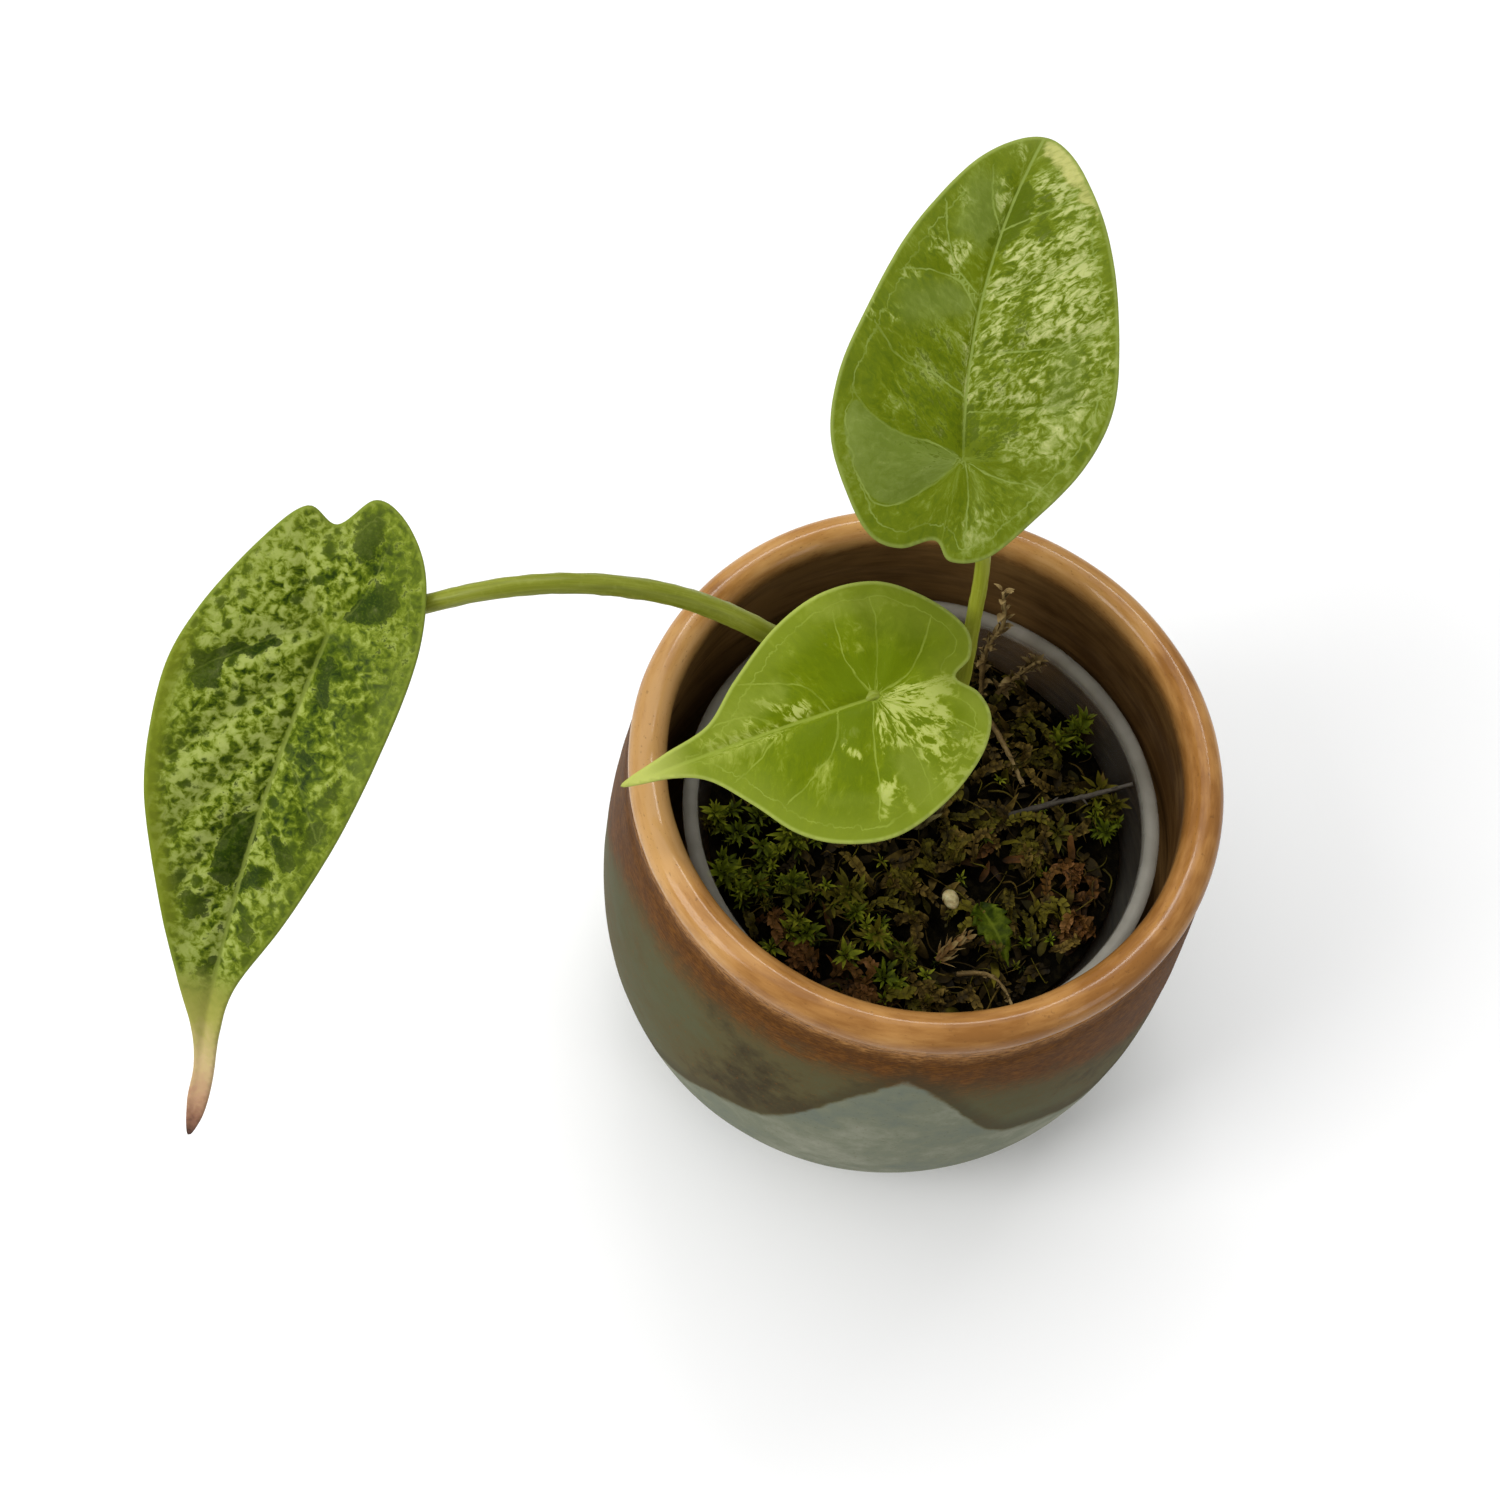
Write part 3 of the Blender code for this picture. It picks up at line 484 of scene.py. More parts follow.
# junction, tip, roll, fold, arch and bow place each blade as the frame has it; lines are (along, across), mm
# pale, dark, sage and cream are soft patches, each (start, end, radius, strength); panels are plain sectors
# scale, rough, warp and clumps shape the mottling; calm and lively are its contrast outside and inside the
# pale patches, hush its share at the junction, ground and lift its tone, and stops where dark to paleHigh lie
leaves = {
    "tall": {
        "junction": (-7.0, 20.0, 100.0), "tip": (-10.0, 55.0, 115.0),
        "roll": 5.0, "fold": 0.18, "arch": 2.0, "bow": 2.3,
        "outline": [(-9.0, 1.0), (-10.7, 4.5), (-10.3, 8.0), (-7.0, 11.3), (-1.0, 14.8), (6.0, 15.5),
                    (14.5, 14.0), (22.5, 12.0), (29.5, 9.0), (34.5, 5.5), (37.6, 0.8), (36.2, -3.0),
                    (31.0, -7.1), (24.5, -10.5), (15.8, -13.3), (8.0, -14.6), (1.5, -13.1), (-4.5, -9.4),
                    (-9.6, -5.2), (-10.8, -1.2)],
        "veins": [[(0, 0.3), (1.0, 3.6), (1.2, 7.4), (2.4, 11.0), (4.4, 13.4)],
                  [(0, 0.2), (-3.2, 2.6), (-6.2, 5.9), (-6.6, 8.6), (-4.2, 11.0)],
                  [(6.4, 1.2), (8.2, 5.0), (9.2, 9.6), (12.0, 12.8)],
                  [(15.6, 2.3), (18.8, 5.0), (19.3, 8.4), (18.6, 11.6)],
                  [(17.8, 2.4), (20.2, 5.8), (23.5, 7.6), (27.4, 8.9)],
                  [(25.4, 2.2), (29.0, 4.0), (32.6, 4.8)],
                  [(0, -0.4), (-1.2, -4.2), (-1.3, -8.0), (-2.0, -10.0)],
                  [(0, -0.2), (-4.0, -1.6), (-8.2, -2.2)],
                  [(5.2, 0.4), (6.2, -4.2), (7.2, -7.6), (8.2, -11.8)],
                  [(11.4, 1.6), (12.6, -3.4), (14.2, -8.0), (16.4, -11.2)],
                  [(18.0, 2.2), (20.0, -2.2), (22.2, -6.0), (24.6, -8.6)],
                  [(25.6, 2.2), (28.0, -1.2), (30.4, -4.4), (32.0, -5.0)]],
        "slope": 0.62, "stretch": 0.66, "fanWidth": 8.0, "quilt": 0.42, "sway": 0.5,
        "veinWidth": 0.11, "veinShow": 0.85, "veinShade": 0.12,
        "ribShow": 0.85, "ribWidth": 0.26, "ribStart": 0.35,
        "pale": [((31.5, -2.4), (31.0, -3.4), 2.3, 1.0), ((28.7, -0.4), (29.0, -1.6), 1.1, 0.9),
                 ((28.4, -5.4), (26.8, -6.2), 2.0, 1.25), ((23.6, -1.4), (23.2, -7.0), 2.6, 1.10),
                 ((19.0, -1.4), (18.0, -9.2), 3.0, 1.05), ((13.4, -0.8), (13.0, -10.4), 3.4, 0.78),
                 ((8.0, -0.8), (8.6, -11.4), 3.2, 0.62), ((3.6, -1.6), (3.4, -11.4), 2.9, 0.46),
                 ((-2.4, -3.6), (-2.4, -9.0), 2.6, 0.26), ((-7.4, -2.0), (-5.4, -4.6), 2.6, 0.34),
                 ((22.5, 8.9), (22.2, 8.5), 1.2, 0.80), ((22.7, 6.3), (20.6, 5.9), 0.8, 0.85),
                 ((18.2, 10.8), (18.1, 10.7), 1.0, 0.85), ((13.2, 11.2), (13.8, 11.8), 1.0, 0.75),
                 ((15.0, 14.0), (13.4, 14.2), 0.9, 0.8), ((28.5, 7.1), (28.2, 6.8), 1.0, 0.7),
                 ((26.0, 2.6), (31.4, 3.2), 0.7, 1.0), ((35.6, 2.6), (35.0, 2.2), 0.7, 0.8),
                 ((12.0, 2.4), (3.0, 0.4), 0.6, 0.6), ((32.6, 8.0), (33.4, 6.8), 0.6, 0.7),
                 ((11.0, 5.0), (5.0, 7.4), 3.8, 0.30), ((4.0, 2.6), (3.0, 5.0), 2.6, 0.26)],
        "dark": [((30.5, 0.6), (24.6, 1.6), 1.3, 1.0), ((3.0, 4.0), (10.0, 6.0), 4.2, 0.42),
                 ((30.0, -1.5), (25.6, -2.6), 0.9, 0.6), ((17.0, -2.6), (8.0, -2.4), 1.3, 0.42),
                 ((2.0, 0.0), (5.0, 0.2), 0.9, 0.7), ((1.5, -2.0), (4.5, -4.0), 1.5, 0.5)],
        "sage": [((13.4, -8.6), (7.4, -9.0), 2.0, 0.55), ((16.6, 5.6), (14.8, 9.4), 2.2, 0.8),
                 ((29.4, 5.2), (25.6, 4.6), 2.2, 0.9)],
        "cream": [((36.4, -1.4), (33.6, -4.4), 1.3, 1.0), ((32.4, -5.6), (29.6, -7.6), 0.8, 0.8)],
        "panels": [[(0.2, 0.6), (1.0, 3.6), (1.2, 7.4), (2.4, 11.0), (3.4, 13.2), (0.4, 13.6), (-3.4, 11.6),
                    (-6.2, 8.9), (-6.2, 5.9), (-3.2, 2.6)]],
        "colours": {
            "deep": (0.074, 0.110, 0.002), "leafy": (0.108, 0.144, 0.002), "bright": (0.140, 0.186, 0.015),
            "pale": (0.240, 0.285, 0.066), "paleHigh": (0.410, 0.440, 0.165), "sage": (0.116, 0.158, 0.020),
            "dark": (0.066, 0.096, 0.001), "vein": (0.205, 0.262, 0.052), "cream": (0.520, 0.500, 0.180),
            "margin": (0.235, 0.290, 0.060), "tip": (0.25, 0.30, 0.06), "smooth": (0.165, 0.214, 0.044),
            "under": (0.165, 0.215, 0.045)},
        "scale": 1.25, "rough": 0.64, "warp": 0.6, "clumps": 0.34, "calm": 0.75, "lively": 2.9, "hush": 0.30,
        "ground": 0.375, "lift": 0.215, "stops": (0.06, 0.22, 0.40, 0.50, 0.64, 0.92),
        "pores": False, "paler": 0.25, "tipRun": 3.0, "tipShow": 0.4,
    },
    "young": {
        "junction": (-8.0, -2.0, 82.0), "tip": (-32.0, -20.0, 75.0),
        "roll": 14.0, "fold": 0.12, "arch": 2.0, "bow": 0.0,
        "outline": [(-9.6, 0.4), (-11.6, 3.0), (-11.8, 6.5), (-9.0, 10.4), (-3.5, 14.1), (3.0, 16.1),
                    (8.8, 15.1), (13.5, 12.2), (17.2, 7.4), (21.0, 3.0), (25.0, 1.1), (31.0, -0.3),
                    (25.0, -1.8), (19.2, -3.1), (14.5, -6.9), (8.4, -11.0), (2.0, -13.2), (-4.6, -12.8),
                    (-9.7, -9.4), (-12.9, -4.9), (-12.2, -1.5)],
        "veins": [[(0.2, -0.3), (1.6, -3.8), (1.8, -6.6), (1.3, -10.6)],
                  [(0, -0.3), (-1.8, -4.4), (-3.0, -8.4), (-3.2, -11.0)],
                  [(-0.2, -0.2), (-4.4, -1.5), (-7.2, -4.2), (-9.2, -7.0)],
                  [(5.5, -0.2), (6.3, -2.4), (8.4, -4.3), (14.0, -6.2)],
                  [(11.8, -0.2), (14.2, -2.4), (18.4, -2.8)],
                  [(0.4, 0.3), (2.0, 4.9), (3.0, 9.4), (4.4, 13.6)],
                  [(4.6, 0.2), (6.2, 3.9), (9.2, 6.3), (13.4, 8.6)],
                  [(11.6, 0.2), (14.4, 2.4), (18.0, 4.0)],
                  [(-0.2, 0.3), (-4.6, 3.5), (-8.2, 5.5), (-9.8, 7.4)],
                  [(0, 0.4), (-1.8, 7.0), (-2.2, 10.6), (-1.8, 13.2)]],
        "slope": 0.45, "stretch": 0.50, "fanWidth": 6.0, "quilt": 0.30, "sway": 0.35,
        "veinWidth": 0.10, "veinShow": 0.75, "veinShade": 0.0,
        "ribShow": 0.8, "ribWidth": 0.32, "ribStart": 0.9,
        "pale": [((-1.6, 0.9), (-8.8, 1.4), 1.2, 0.95), ((-1.6, 2.8), (-5.6, 4.6), 1.9, 0.9),
                 ((-2.0, 5.0), (-4.6, 8.4), 1.9, 0.95), ((-5.0, 9.0), (-8.2, 11.0), 1.9, 1.0),
                 ((-7.0, 6.0), (-9.4, 9.0), 1.2, 0.9), ((-4.2, 11.4), (-6.4, 12.4), 1.4, 0.9),
                 ((0.8, 3.0), (1.2, 6.2), 0.5, 0.85),
                 ((12.4, -3.3), (11.6, -2.8), 0.8, 1.0), ((10.6, -1.9), (8.4, -1.1), 0.8, 0.95),
                 ((15.1, -1.9), (14.6, -1.5), 0.45, 0.8), ((2.4, 10.4), (3.0, 13.0), 1.1, 0.95),
                 ((4.6, 2.2), (5.0, 5.0), 0.35, 0.85), ((5.0, 5.0), (4.6, 6.6), 0.35, 0.8),
                 ((3.9, 3.0), (3.8, 3.6), 0.4, 0.7), ((1.0, 11.6), (0.4, 13.8), 0.6, 0.6),
                 ((20.0, -0.8), (12.0, 0.4), 1.2, 0.45)],
        "dark": [((-2.4, -3.0), (2.4, -3.2), 2.6, 0.8), ((4.0, 2.4), (9.0, 3.0), 2.2, 0.7),
                 ((-9.0, 6.2), (-7.4, 6.4), 1.6, 0.6), ((2.6, -8.4), (7.4, -6.0), 1.8, 0.4)],
        "sage": [((11.0, -4.0), (17.0, -2.6), 1.8, 0.7), ((14.0, 0.8), (24.0, 0.0), 1.2, 0.6),
                 ((-4.0, -10.6), (3.0, -11.4), 1.2, 0.7), ((-10.6, 4.2), (-10.9, 6.2), 1.4, 0.9),
                 ((-0.9, 8.4), (-1.6, 11.8), 1.9, 0.95), ((8.6, 10.0), (2.0, 12.6), 1.4, 0.4),
                 ((-7.0, -6.6), (-2.4, -8.6), 3.2, 0.38)],
        "cream": [],
        "panels": [],
        "colours": {
            "deep": (0.102, 0.146, 0.001), "leafy": (0.128, 0.176, 0.001), "bright": (0.195, 0.245, 0.020),
            "pale": (0.285, 0.335, 0.052), "paleHigh": (0.385, 0.430, 0.110), "sage": (0.178, 0.228, 0.020),
            "dark": (0.108, 0.155, 0.001), "vein": (0.240, 0.300, 0.036), "cream": (0.42, 0.43, 0.12),
            "margin": (0.330, 0.390, 0.080), "tip": (0.420, 0.460, 0.105), "smooth": (0.235, 0.285, 0.040),
            "under": (0.215, 0.270, 0.045)},
        "scale": 1.35, "rough": 0.64, "warp": 0.6, "clumps": 0.30, "calm": 0.55, "lively": 3.0, "hush": 1.0,
        "ground": 0.395, "lift": 0.265, "stops": (0.18, 0.32, 0.45, 0.535, 0.60, 0.80),
        "pores": False, "paler": 0.60, "tipRun": 9.0, "tipShow": 1.0,
    },
    "old": {
        "junction": (-65.0, -22.0, 93.0), "tip": (-64.0, -71.0, 62.0),
        "roll": 14.0, "fold": 0.36, "arch": 4.0, "bow": -1.7,
        "outline": [(-11.3, -2.5), (-14.9, 0.5), (-14.2, 3.8), (-10.8, 7.2), (-6.0, 9.1), (0.5, 9.8),
                    (9.5, 9.0), (20.0, 7.2), (30.5, 4.2), (39.3, 0.9), (45.0, 0.5), (51.0, 1.1),
                    (55.5, 1.0), (58.0, 0.0), (54.0, -1.0), (49.4, -1.3), (45.0, -2.6), (40.0, -5.0),
                    (31.2, -8.9), (19.5, -13.2), (8.4, -14.6), (0.8, -13.2), (-7.9, -9.3), (-12.4, -6.0)],
        "veins": [[(0, -0.4), (1.4, -4.8), (5.0, -9.6), (7.6, -12.6)],
                  [(-0.2, -0.3), (-4.4, -3.0), (-9.6, -5.6)],
                  [(5.6, -1.0), (8.4, -5.0), (13.0, -9.0), (16.0, -11.6)],
                  [(12.6, -1.6), (15.6, -4.6), (20.6, -8.0), (24.2, -9.8)],
                  [(19.6, -1.8), (22.8, -4.2), (27.4, -6.6), (31.4, -7.4)],
                  [(26.6, -1.6), (29.8, -3.2), (34.4, -4.9)],
                  [(0, 0.2), (2.6, 4.0), (5.8, 7.6)],
                  [(-0.2, 0.2), (-5.0, 2.6), (-11.0, 3.6)],
                  [(5.6, -0.6), (8.6, 2.8), (13.0, 6.2)],
                  [(12.6, -1.4), (16.0, 1.8), (20.6, 5.0)],
                  [(19.6, -1.6), (23.4, 0.8), (28.0, 2.8)]],
        "slope": 0.55, "stretch": 0.95, "fanWidth": 0, "quilt": 0.60, "sway": 0.6,
        "veinWidth": 0.12, "veinShow": 0.3, "veinShade": 0.0,
        "ribShow": 0.85, "ribWidth": 0.42, "ribStart": 0.6,
        "pale": [((-8.0, -4.0), (4.0, -8.0), 5.5, 1.0), ((6.0, -6.0), (24.0, -7.0), 5.5, 0.95),
                 ((24.0, -5.0), (38.0, -2.6), 3.8, 0.95), ((-10.0, 1.5), (-2.0, 3.6), 3.0, 0.25),
                 ((2.0, 2.6), (24.0, 1.0), 4.2, 0.24), ((24.0, 1.6), (36.0, -1.0), 2.6, 0.50),
                 ((-2.0, 6.0), (18.0, 6.0), 2.6, 0.12)],
        "dark": [((-11.8, 1.4), (-10.0, 1.0), 1.5, 1.0), ((-5.2, 5.0), (-3.4, 3.6), 1.5, 1.0),
                 ((-2.8, 2.4), (-2.2, 1.6), 0.7, 0.9), ((2.2, -4.9), (5.6, -11.6), 0.8, 1.0),
                 ((6.0, -10.4), (7.6, -10.8), 1.4, 1.0), ((22.0, -3.0), (26.8, -3.4), 1.5, 1.0),
                 ((31.0, -5.8), (31.6, -5.4), 1.2, 1.0), ((28.0, -1.0), (26.4, 0.8), 0.9, 0.9),
                 ((3.0, 0.8), (7.0, 1.4), 1.1, 0.75), ((19.4, 5.0), (21.8, 4.4), 1.0, 0.8),
                 ((24.4, 2.8), (22.8, 1.4), 0.9, 0.8), ((14.4, 5.6), (15.6, 5.2), 0.8, 0.8),
                 ((36.8, -2.6), (38.8, -2.8), 0.6, 0.9), ((28.6, -8.0), (29.4, -7.6), 0.8, 0.9),
                 ((33.6, 1.0), (32.4, 0.2), 0.8, 0.8), ((12.6, 1.0), (13.0, 2.2), 0.6, 0.8),
                 ((-9.0, 4.0), (0.0, 7.4), 3.2, 0.30), ((17.0, -4.4), (33.0, -3.4), 1.7, 0.28)],
        "sage": [((0.0, 8.6), (16.0, 7.6), 1.4, 0.4)],
        "cream": [],
        "panels": [],
        "colours": {
            "deep": (0.048, 0.078, 0.002), "leafy": (0.105, 0.146, 0.006), "bright": (0.175, 0.222, 0.022),
            "pale": (0.250, 0.305, 0.054), "paleHigh": (0.335, 0.390, 0.098), "sage": (0.130, 0.175, 0.028),
            "dark": (0.014, 0.030, 0.001), "vein": (0.195, 0.240, 0.040), "cream": (0.45, 0.43, 0.18),
            "margin": (0.185, 0.235, 0.030), "tip": (0.33, 0.35, 0.08), "smooth": (0.160, 0.205, 0.030),
            "under": (0.140, 0.180, 0.045)},
        "scale": 0.95, "rough": 0.58, "warp": 0.4, "clumps": 0.30, "calm": 1.4, "lively": 2.4, "hush": 0.6,
        "ground": 0.375, "lift": 0.215, "stops": (0.16, 0.31, 0.44, 0.53, 0.62, 0.86),
        "pores": True, "paler": 0.25, "tipRun": 20.0, "tipShow": 1.0,
        # towards its tip the leaf has dried; start and run are mm along it
        "ageing": {
            "start": 36.0, "run": 22.0, "flush": (0.170, 0.205, 0.014),
            "top": [(0.05, (0.175, 0.215, 0.022)), (0.35, (0.33, 0.32, 0.07)), (0.58, (0.52, 0.40, 0.19)),
                    (0.76, (0.46, 0.28, 0.16)), (0.90, (0.26, 0.13, 0.08)), (0.985, (0.08, 0.04, 0.03))],
            "under": [(0.05, (0.20, 0.23, 0.05)), (0.40, (0.42, 0.38, 0.14)), (0.7, (0.46, 0.30, 0.17)),
                      (0.985, (0.08, 0.04, 0.03))],
        },
    },
}
blade = {"thickness": 0.42, "grid": 0.42, "edgeSpans": 10, "foldRounding": 1.5, "midribSink": 0.32}   # mm


def bladeFrame(leaf):
    junction, tip = Vector(leaf["junction"]), Vector(leaf["tip"])
    length = (tip - junction).length
    along = (tip - junction) / length
    level = Vector((0, 0, 1)) - along * along.z
    level.normalize()
    out = level * cos(radians(leaf["roll"])) + level.cross(along) * sin(radians(leaf["roll"]))
    return np.array(junction), np.array(along), np.array(out.cross(along)), np.array(out), length


def offMidrib(leaf, flat, length):
    hump = 4 * flat[:, 0] * (length - flat[:, 0]) / length ** 2
    return flat[:, 1] - leaf["bow"] * np.clip(hump, 0, None), hump


def onBlade(leaf, flat, lift=0.0):
    # places in mm of flat (along, across) points once the blade is folded and arched
    flat = np.atleast_2d(np.asarray(flat, float))
    junction, along, side, out, length = bladeFrame(leaf)
    off, hump = offMidrib(leaf, flat, length)
    rounding = blade["foldRounding"]
    height = leaf["fold"] * (np.sqrt(off ** 2 + rounding ** 2) - rounding) + leaf["arch"] * hump + lift
    return junction + np.outer(flat[:, 0], along) + np.outer(flat[:, 1], side) + np.outer(height, out)


def swayOf(name, flat):
    # slow rise and fall of a blade, in mm
    sway = np.array([noise.noise((x * 0.09, y * 0.11, len(name) * 3.1)) for x, y in flat])
    return sway * leaves[name]["sway"]


def besideLines(points, lines):
    # distance to the nearest of several open lines, and the same with a sign, positive on its left
    nearest, signed = np.full(len(points), 1e9), np.zeros(len(points))
    for line in lines:
        for a, b in zip(line[:-1], line[1:]):
            step = b - a
            share = np.clip(((points - a) @ step) / max(step @ step, 1e-9), 0, 1)
            away = np.linalg.norm(points - a - np.outer(share, step), axis=1)
            turn = step[0] * (points[:, 1] - a[1]) - step[1] * (points[:, 0] - a[0])
            closer = away < nearest
            nearest = np.where(closer, away, nearest)
            signed = np.where(closer, np.where(turn < 0, -away, away), signed)
    return nearest, signed


def distanceTo(points, line):
    return besideLines(points, [line])[0]


def insideOf(points, outline):
    crossings = np.zeros(len(points), int)
    for a, b in zip(outline, np.roll(outline, -1, axis=0)):
        if a[1] == b[1]:
            continue
        spans = (a[1] > points[:, 1]) != (b[1] > points[:, 1])
        crossings += spans & (a[0] + (points[:, 1] - a[1]) / (b[1] - a[1]) * (b[0] - a[0]) > points[:, 0])
    return crossings % 2 == 1


def patchShare(points, patches, soft=0.8):
    # how much each point belongs to soft, ragged patches of (start, end, radius, strength)
    share = np.zeros(len(points))
    if not patches:
        return share
    bends = [0.9 * noise.noise_vector((x * 0.45, y * 0.45, 2.0))
             + 0.55 * noise.noise_vector((x * 1.3, y * 1.3, 6.0)) for x, y in points]
    points = points + np.array([(bend.x, bend.y) for bend in bends])
    for start, end, radius, strength in patches:
        away = distanceTo(points, np.array([start, end], float))
        edge = max(soft * radius, 0.25)
        share = np.maximum(share, strength * np.clip((radius + edge / 2 - away) / edge, 0, 1))
    return share


def panelDepth(points, panels):
    # signed depth inside the smooth sectors between two veins, negative outside them
    depth = np.full(len(points), -9.0)
    for panel in panels:
        line = smoothCurve(panel, 6, closed=True)
        away = distanceTo(points, np.vstack([line, line[:1]]))
        depth = np.maximum(depth, np.where(insideOf(points, line), away, -away))
    return depth


def leafTones(skin, leaf):
    # the variegation: calm green away from the patches, broken and pale inside them
    grain, pale = skin.reading("grain", "Vector"), skin.reading("pale")
    fine = skin.cloud(grain, leaf["scale"], 6, leaf["rough"], leaf["warp"])
    coarse = skin.cloud(grain, leaf["scale"] * 0.36, 3, 0.5, 0.5)
    broad = skin.cloud(grain, 0.20, 2)
    swing = fine - 0.5 + (coarse - 0.5) * leaf["clumps"]
    swing = swing * skin.step(pale, 0.02, 0.90, leaf["calm"], leaf["lively"])
    # the pattern calms down at the stalk's junction
    swing = swing * skin.step(skin.reading("away"), 1.0, 6.5, leaf["hush"], 1.0)
    level = swing + leaf["ground"] + pale * leaf["lift"] + (broad - 0.5) * 0.55
    order = ("dark", "deep", "leafy", "bright", "pale", "paleHigh")
    colour = skin.shades(level, stopsOf(leaf["colours"], *zip(leaf["stops"], order)))
    return colour, grain, fine, broad


def veinLines(skin, width):
    # thin lines at the side veins and at the vein that follows the margin
    grain = skin.reading("grain", "Vector")
    waver = skin.cloud(grain, 0.7, 3) - 0.5
    aside = abs(skin.reading("veinSide") + waver * 0.8)
    near = skin.step(skin.reading("veinReach"), 0.35, 0.6, 1.0, 0.0)
    line = skin.step(aside, width * 0.4, width * 1.5, 1.0, 0.0) * near
    border = abs(skin.reading("edge") - 1.8 + waver * 1.8)
    border = skin.step(border, width * 0.3, width * 1.3, 0.85, 0.0) * skin.reading("bordered")
    # the lines fade in and out along their way
    return line.maths("MAXIMUM", border) * skin.step(skin.cloud(grain, 0.35, 2), 0.38, 0.58, 0.35, 1.0)


def leafTop(name, leaf):
    tones, width = leaf["colours"], leaf["ribWidth"]
    skin = Finish(name + " leaf", {
        "IOR": 1.4, "Specular IOR Level": 0.07, "Subsurface Weight": 0.05, "Subsurface Scale": 0.001,
        "Subsurface Radius": (0.5, 0.8, 0.1)})
    colour, grain, fine, broad = leafTones(skin, leaf)
    tiny = skin.cloud(grain, 3.2, 3, 0.6)
    edge, along = skin.reading("edge"), skin.reading("along")
    crumbs, grit = fine - 0.5, tiny - 0.5
    if leaf["pores"]:
        # small dark holes in the pale net, of uneven size
        bend = skin.node("TexNoise", {}, {"Vector": grain, "Scale": 1.1, "Detail": 3.0}, "Color")
        bent = skin.node("VectorMath", {"operation": "ADD"}, {0: grain, 1: bend}, "Vector")
        pores = skin.node("TexVoronoi", {}, {"Vector": bent, "Scale": 0.58}, "Distance")
        size = skin.node("SeparateColor", {}, {"Color": pores.output("Color")}) * 0.34
        hole = pores + grit * 0.5 - size
        colour = skin.mixed(skin.step(hole, 0.0, 0.20, 0.85, 0.0), colour, tones["deep"])
        colour = skin.mixed(skin.step(hole, -0.10, 0.06, 0.55, 0.0), colour, tones["dark"])
    smooth = skin.shades(fine * 0.5 + broad * 0.5, stopsOf(tones, (0.42, "sage"), (0.62, "smooth")))
    colour = skin.mixed(skin.step(skin.reading("sage"), 0.10, 0.85, 0.0, 0.75), colour, smooth)
    panel = skin.reading("panel") + grit * 0.5
    colour = skin.mixed(skin.step(panel, -0.1, 0.15, 0.0, 0.92), colour, smooth)
    blotch = skin.shades(tiny, stopsOf(tones, (0.50, "dark"), (0.74, "deep"), (0.92, "leafy")))
    blotched = skin.reading("dark") + crumbs * 2.2 + grit * 0.9
    colour = skin.mixed(skin.step(blotched, 0.42, 0.66, 0.0, 0.9), colour, blotch)
    creamy = skin.reading("cream") + crumbs * 1.6
    colour = skin.mixed(skin.step(creamy, 0.15, 1.15, 0.0, 0.95), colour, tones["cream"])
    colour = skin.mixed(skin.reading("veinWide") * leaf["veinShade"], colour, tones["deep"])
    colour = skin.mixed(skin.step(edge, 0.5, 6.0, leaf["paler"], 0.0), colour, tones["bright"])
    veins = veinLines(skin, leaf["veinWidth"])
    colour = skin.mixed(veins * leaf["veinShow"], colour, tones["vein"])
    midrib = skin.step(abs(skin.reading("spine")) + crumbs * width, width * 0.4, width, 1.0, 0.0)
    midrib = midrib * skin.step(along, -0.5, 0.4) * skin.step(along, 0.5, 7.0, leaf["ribStart"], 1.0)
    colour = skin.mixed(midrib * leaf["ribShow"], colour, tones["vein"])
    colour = skin.mixed(skin.step(edge, 0.12, 0.55, 0.85, 0.0), colour, tones["margin"])
    colour = skin.mixed(skin.reading("tipShare"), colour, tones["tip"])
    if "ageing" in leaf:
        ageing, dry = leaf["ageing"], along + crumbs * 5.0
        dried = skin.shades((dry - ageing["start"]) / ageing["run"], ageing["top"])
        colour = skin.mixed(skin.step(dry, ageing["start"] + 0.5, ageing["start"] + 6.5), colour, dried)
        colour = skin.mixed(skin.reading("flush") * 0.7, colour, ageing["flush"])
    return skin.done(colour, skin.step(fine, 0.3, 0.7, 0.40, 0.52), tiny * 0.35 - veins * 0.5, 0.4, 0.10)


def leafUnderside(name, leaf):
    skin = Finish(name + " leaf underside", {
        "IOR": 1.42, "Specular IOR Level": 0.2, "Subsurface Weight": 0.08, "Subsurface Scale": 0.001,
        "Subsurface Radius": (0.5, 0.8, 0.1)})
    colour, _, fine, _ = leafTones(skin, leaf)
    colour = skin.mixed(0.62, colour, leaf["colours"]["under"])
    veins, along = veinLines(skin, leaf["veinWidth"] * 1.6), skin.reading("along")
    colour = skin.mixed(veins * 0.6, colour, leaf["colours"]["vein"])
    if "ageing" in leaf:
        ageing = leaf["ageing"]
        dried = skin.shades((along - ageing["start"]) / ageing["run"], ageing["under"])
        colour = skin.mixed(skin.step(along, ageing["start"], ageing["start"] + 6.0), colour, dried)
    return skin.done(colour, skin.step(fine, 0.3, 0.7, 0.5, 0.62), veins + fine * 0.3, 0.6, 0.15)


